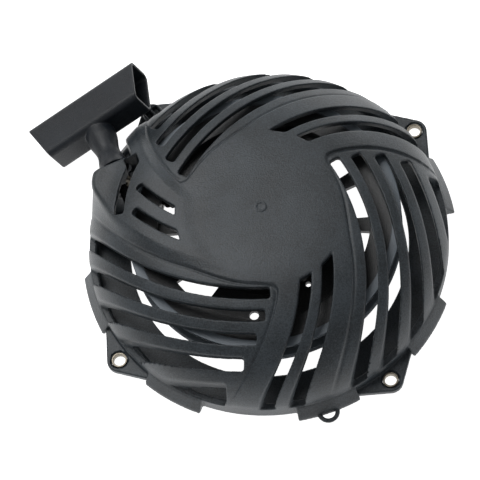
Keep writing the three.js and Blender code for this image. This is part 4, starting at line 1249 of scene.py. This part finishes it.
# ---- centre fastening and small metal parts ----
def make_centre():
    seat, inside_flange = POST_END - 2.0, POST_END - 3.0
    flange_radius, hexagon_radius, shank_radius = 7.5, 5.8, 2.9
    screw = ring("screw_flange", 0.4, flange_radius, seat - 1.2, seat, 0.35)
    hexagon = slab("hexagon", circle(hexagon_radius, 6), seat - 4.6, inside_flange, 0.45)
    shank = slab("shank", circle(shank_radius, 40), inside_flange, POST_END + 17.0)
    combine(combine(screw, hexagon, "UNION"), shank, "UNION")
    screw.name = "flange_screw"
    fit(screw, "housing", "zinc_steel", zinc_steel, "centre_screw")
    washer = ring("flat_washer", 3.4, 10.0, POST_END - 1.7, POST_END - 0.3, 0.3)
    fit(washer, "housing", "zinc_steel", zinc_steel, "centre_washer")
    insert = ring("threaded_insert", 3.2, 4.95, POST_END + 0.2, POST_END + 18, 0.25, 64)
    fit(insert, "housing", "brass", brass, "post_insert")


def make_sleeves():
    bore, top = 3.3, EAR_THICKNESS - FIT_GAP
    for number, angle in enumerate(EAR_ANGLES, 1):
        place = (*polar(ear_radius_to_hole, angle), 0.02)
        sleeve = ring(f"sleeve_{number}", bore, SLEEVE_OUTER_RADIUS, 0.0, top, 0.3, 64, place)
        fit(sleeve, "housing", "zinc_steel", dull_steel, f"ear_sleeve_{number}")


def make_eyelet():
    """A rolled metal eyelet that guides the rope at the duct's end."""
    bore, roll = 3.1, 1.3
    start, end = -CUP_DEPTH - EYELET_LENGTH + 0.2, -CUP_DEPTH - 0.1
    eyelet = ring("rolled_eyelet", bore, EYELET_OUTER, start, end, roll)
    eyelet.data.transform(ALONG_Y)
    eyelet.data.transform(rope_frame_matrix())
    fit(eyelet, "housing", "zinc_steel", dull_steel, "rope_eyelet")


def at_mouth(turn):
    """A frame turned like this, with its origin at the duct's mouth."""
    x, y = mouth
    return Matrix.Translation((x * MM, y * MM, ROPE_HEIGHT * MM)) @ turn


def rope_frame_matrix():
    return at_mouth(Matrix.Rotation(math.radians(OUTLET_ANGLE - 90), 4, "Z"))


# ---- handle ----
def handle_matrix():
    """Handle frame: X along the grip, Y out along the stem, Z up, origin at the duct's mouth."""
    turn = Matrix.Rotation(math.radians(HANDLE_YAW), 4, "Z")
    turn = turn @ Matrix.Rotation(math.radians(HANDLE_DROOP), 4, "X")
    return at_mouth(turn @ Matrix.Rotation(math.radians(HANDLE_ROLL), 4, "Y"))


def section_field(y, z, inset):
    """The grip's rounded section, drawn in by this much."""
    depth, height = GRIP_DEPTH / 2 - inset, GRIP_HEIGHT / 2 - inset
    return cornered(np.abs(y) - depth, np.abs(z) - height, GRIP_CORNER - inset)


def stem_radius(y):
    """The stem's radius along it: widest at the grip, narrow at the waist, wide at its foot."""
    foot_length, shoulder_length = 9.5, 12.0
    foot = smooth_step((STEM_WAIST_PLACE - y) / foot_length)
    shoulder = smooth_step((y - STEM_WAIST_PLACE) / shoulder_length)
    wide = STEM_WAIST_RADIUS + (STEM_MOUTH_RADIUS - STEM_WAIST_RADIUS) * foot
    return wide + (STEM_COLLAR_RADIUS - STEM_WAIST_RADIUS) * shoulder


def grip_field(p):
    x, y, z = p[:, 0], p[:, 1], p[:, 2]
    from_middle = y - (STEM_LENGTH + GRIP_DEPTH / 2)
    slope = (GRIP_LONG_SIDE - GRIP_SHORT_SIDE) / 2 / GRIP_DEPTH
    end = np.abs(x) - GRIP_SHORT_SIDE / 2 - slope * (y - STEM_LENGTH)
    end /= math.hypot(1, slope)
    body = smooth_max(section_field(from_middle, z, 0), end, GRIP_EDGE)
    hollow = section_field(from_middle, z, GRIP_WALL)
    body = smooth_max(body, -hollow, GRIP_HOLLOW_EDGE)
    reach = np.hypot(x, z)
    start, tip = STEM_GAP - MOUTH_SETBACK, -MOUTH_SETBACK - PLUG_LENGTH
    overlap, inside_stem = 1.0, 3.0
    stem = smooth_max(reach - stem_radius(y), outside(y, start, STEM_LENGTH + overlap), EDGE)
    plug = smooth_max(reach - PLUG_RADIUS, outside(y, tip, inside_stem), POST_EDGE)
    body = smooth_min(body, any_of(stem, plug), EDGE)
    floor = STEM_LENGTH + GRIP_WALL
    bore = all_of(reach - STEM_BORE, y - floor - overlap)
    return all_of(body, -all_of(hollow, floor - y), -bore)


def make_grip():
    low, high = (-38.5, -6.0, -11.0), (38.5, 52.0, 11.0)
    pitch = 0.6
    share_kept = 0.3
    grip = fielded("handle_grip", grip_field, low, high, pitch, share_kept)
    grip.data.transform(handle_matrix())
    return fit(grip, "handle", "grip_plastic", grip_plastic, "grip")


def make_handle_parts():
    floor = STEM_LENGTH + GRIP_WALL
    washer = ring("knot_disc", 2.7, 6.5, floor + 0.2, floor + 1.7, 0.4, 64)
    washer.data.transform(handle_matrix() @ ALONG_Y)
    fit(washer, "handle", "zinc_steel", zinc_steel, "knot_washer")
    loops = knot("handle_knot_loops", (0, floor + 6.0, 0), size=4.4, along=(0, 1, 0.001))
    loops.data.transform(handle_matrix())
    fit(loops, "handle", "rope", rope_black, "grip_knot")


def make_rope_run():
    """The rope from the pulley through the eyelet to the knot in the handle. Its stretch in the
    stem pays out as the handle is pulled, so it has many rings there."""
    first, last = -65.5, -MOUTH_SETBACK - PLUG_LENGTH - 0.6
    bend_at, stem_end, knot_step = 2.0, 24.0, 1.2
    rings, stretched_rings = 24, 72

    def in_duct(distance):
        return rope_frame_matrix() @ Vector((0, distance * MM, 0))

    def in_stem(distance):
        return handle_matrix() @ Vector((0, distance * MM, 0))

    path = [in_duct(first + (last - first) * k / rings) for k in range(rings + 1)]
    start, bend, end = in_duct(last), in_duct(bend_at), in_stem(stem_end)
    for k in range(1, stretched_rings):
        t = k / stretched_rings
        path.append(start * (1 - t) ** 2 + bend * 2 * t * (1 - t) + end * t**2)
    path += [in_stem(stem_end + knot_step * k) for k in range(7)]
    piece = swept("pull_rope", [p / MM for p in path], circle(ROPE_RADIUS, 20))
    dress(piece, rope_black)
    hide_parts("rope_lead", "rope_pull")
    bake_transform(piece)


# ---- assembly ----
cover_plastic = moulded_plastic("cover_plastic", (0.013, 0.017, 0.020), (0.041, 0.051, 0.060), 0.43)
grip_plastic = moulded_plastic("grip_plastic", (0.003, 0.005, 0.008), (0.009, 0.013, 0.019), 0.44)
# the pulley's flange is painted paler from RIM_INNER outwards, a painted highlight for its lit rim
pulley_plastic = moulded_plastic(
    "pulley_plastic", (0.012, 0.013, 0.014), (0.026, 0.027, 0.029), 0.42, painted_highlight_from=RIM_INNER
)
rope_black = braided_rope("rope_black", (0.004, 0.004, 0.004), (0.05, 0.05, 0.052))
spring_steel = bare_metal("spring_steel", (0.16, 0.12, 0.085), (0.36, 0.29, 0.22), 0.34)
dull_steel = bare_metal("dull_steel", (0.15, 0.13, 0.10), (0.30, 0.27, 0.22), 0.38)
zinc_steel = bare_metal("zinc_steel", (0.42, 0.39, 0.34), (0.66, 0.63, 0.57), 0.32)
brass = bare_metal("brass", (0.42, 0.27, 0.10), (0.65, 0.45, 0.2), 0.3)

make_camera()
make_light()
make_stage()
make_cover()
make_sleeves()
make_eyelet()
make_centre()
make_pulley()
make_spring()
make_winding()
make_anchor_knot()
for index in range(2):
    make_pawl(index)
    make_pawl_spring(index)
make_plate()
make_friction_spring()
make_grip()
make_handle_parts()
make_rope_run()
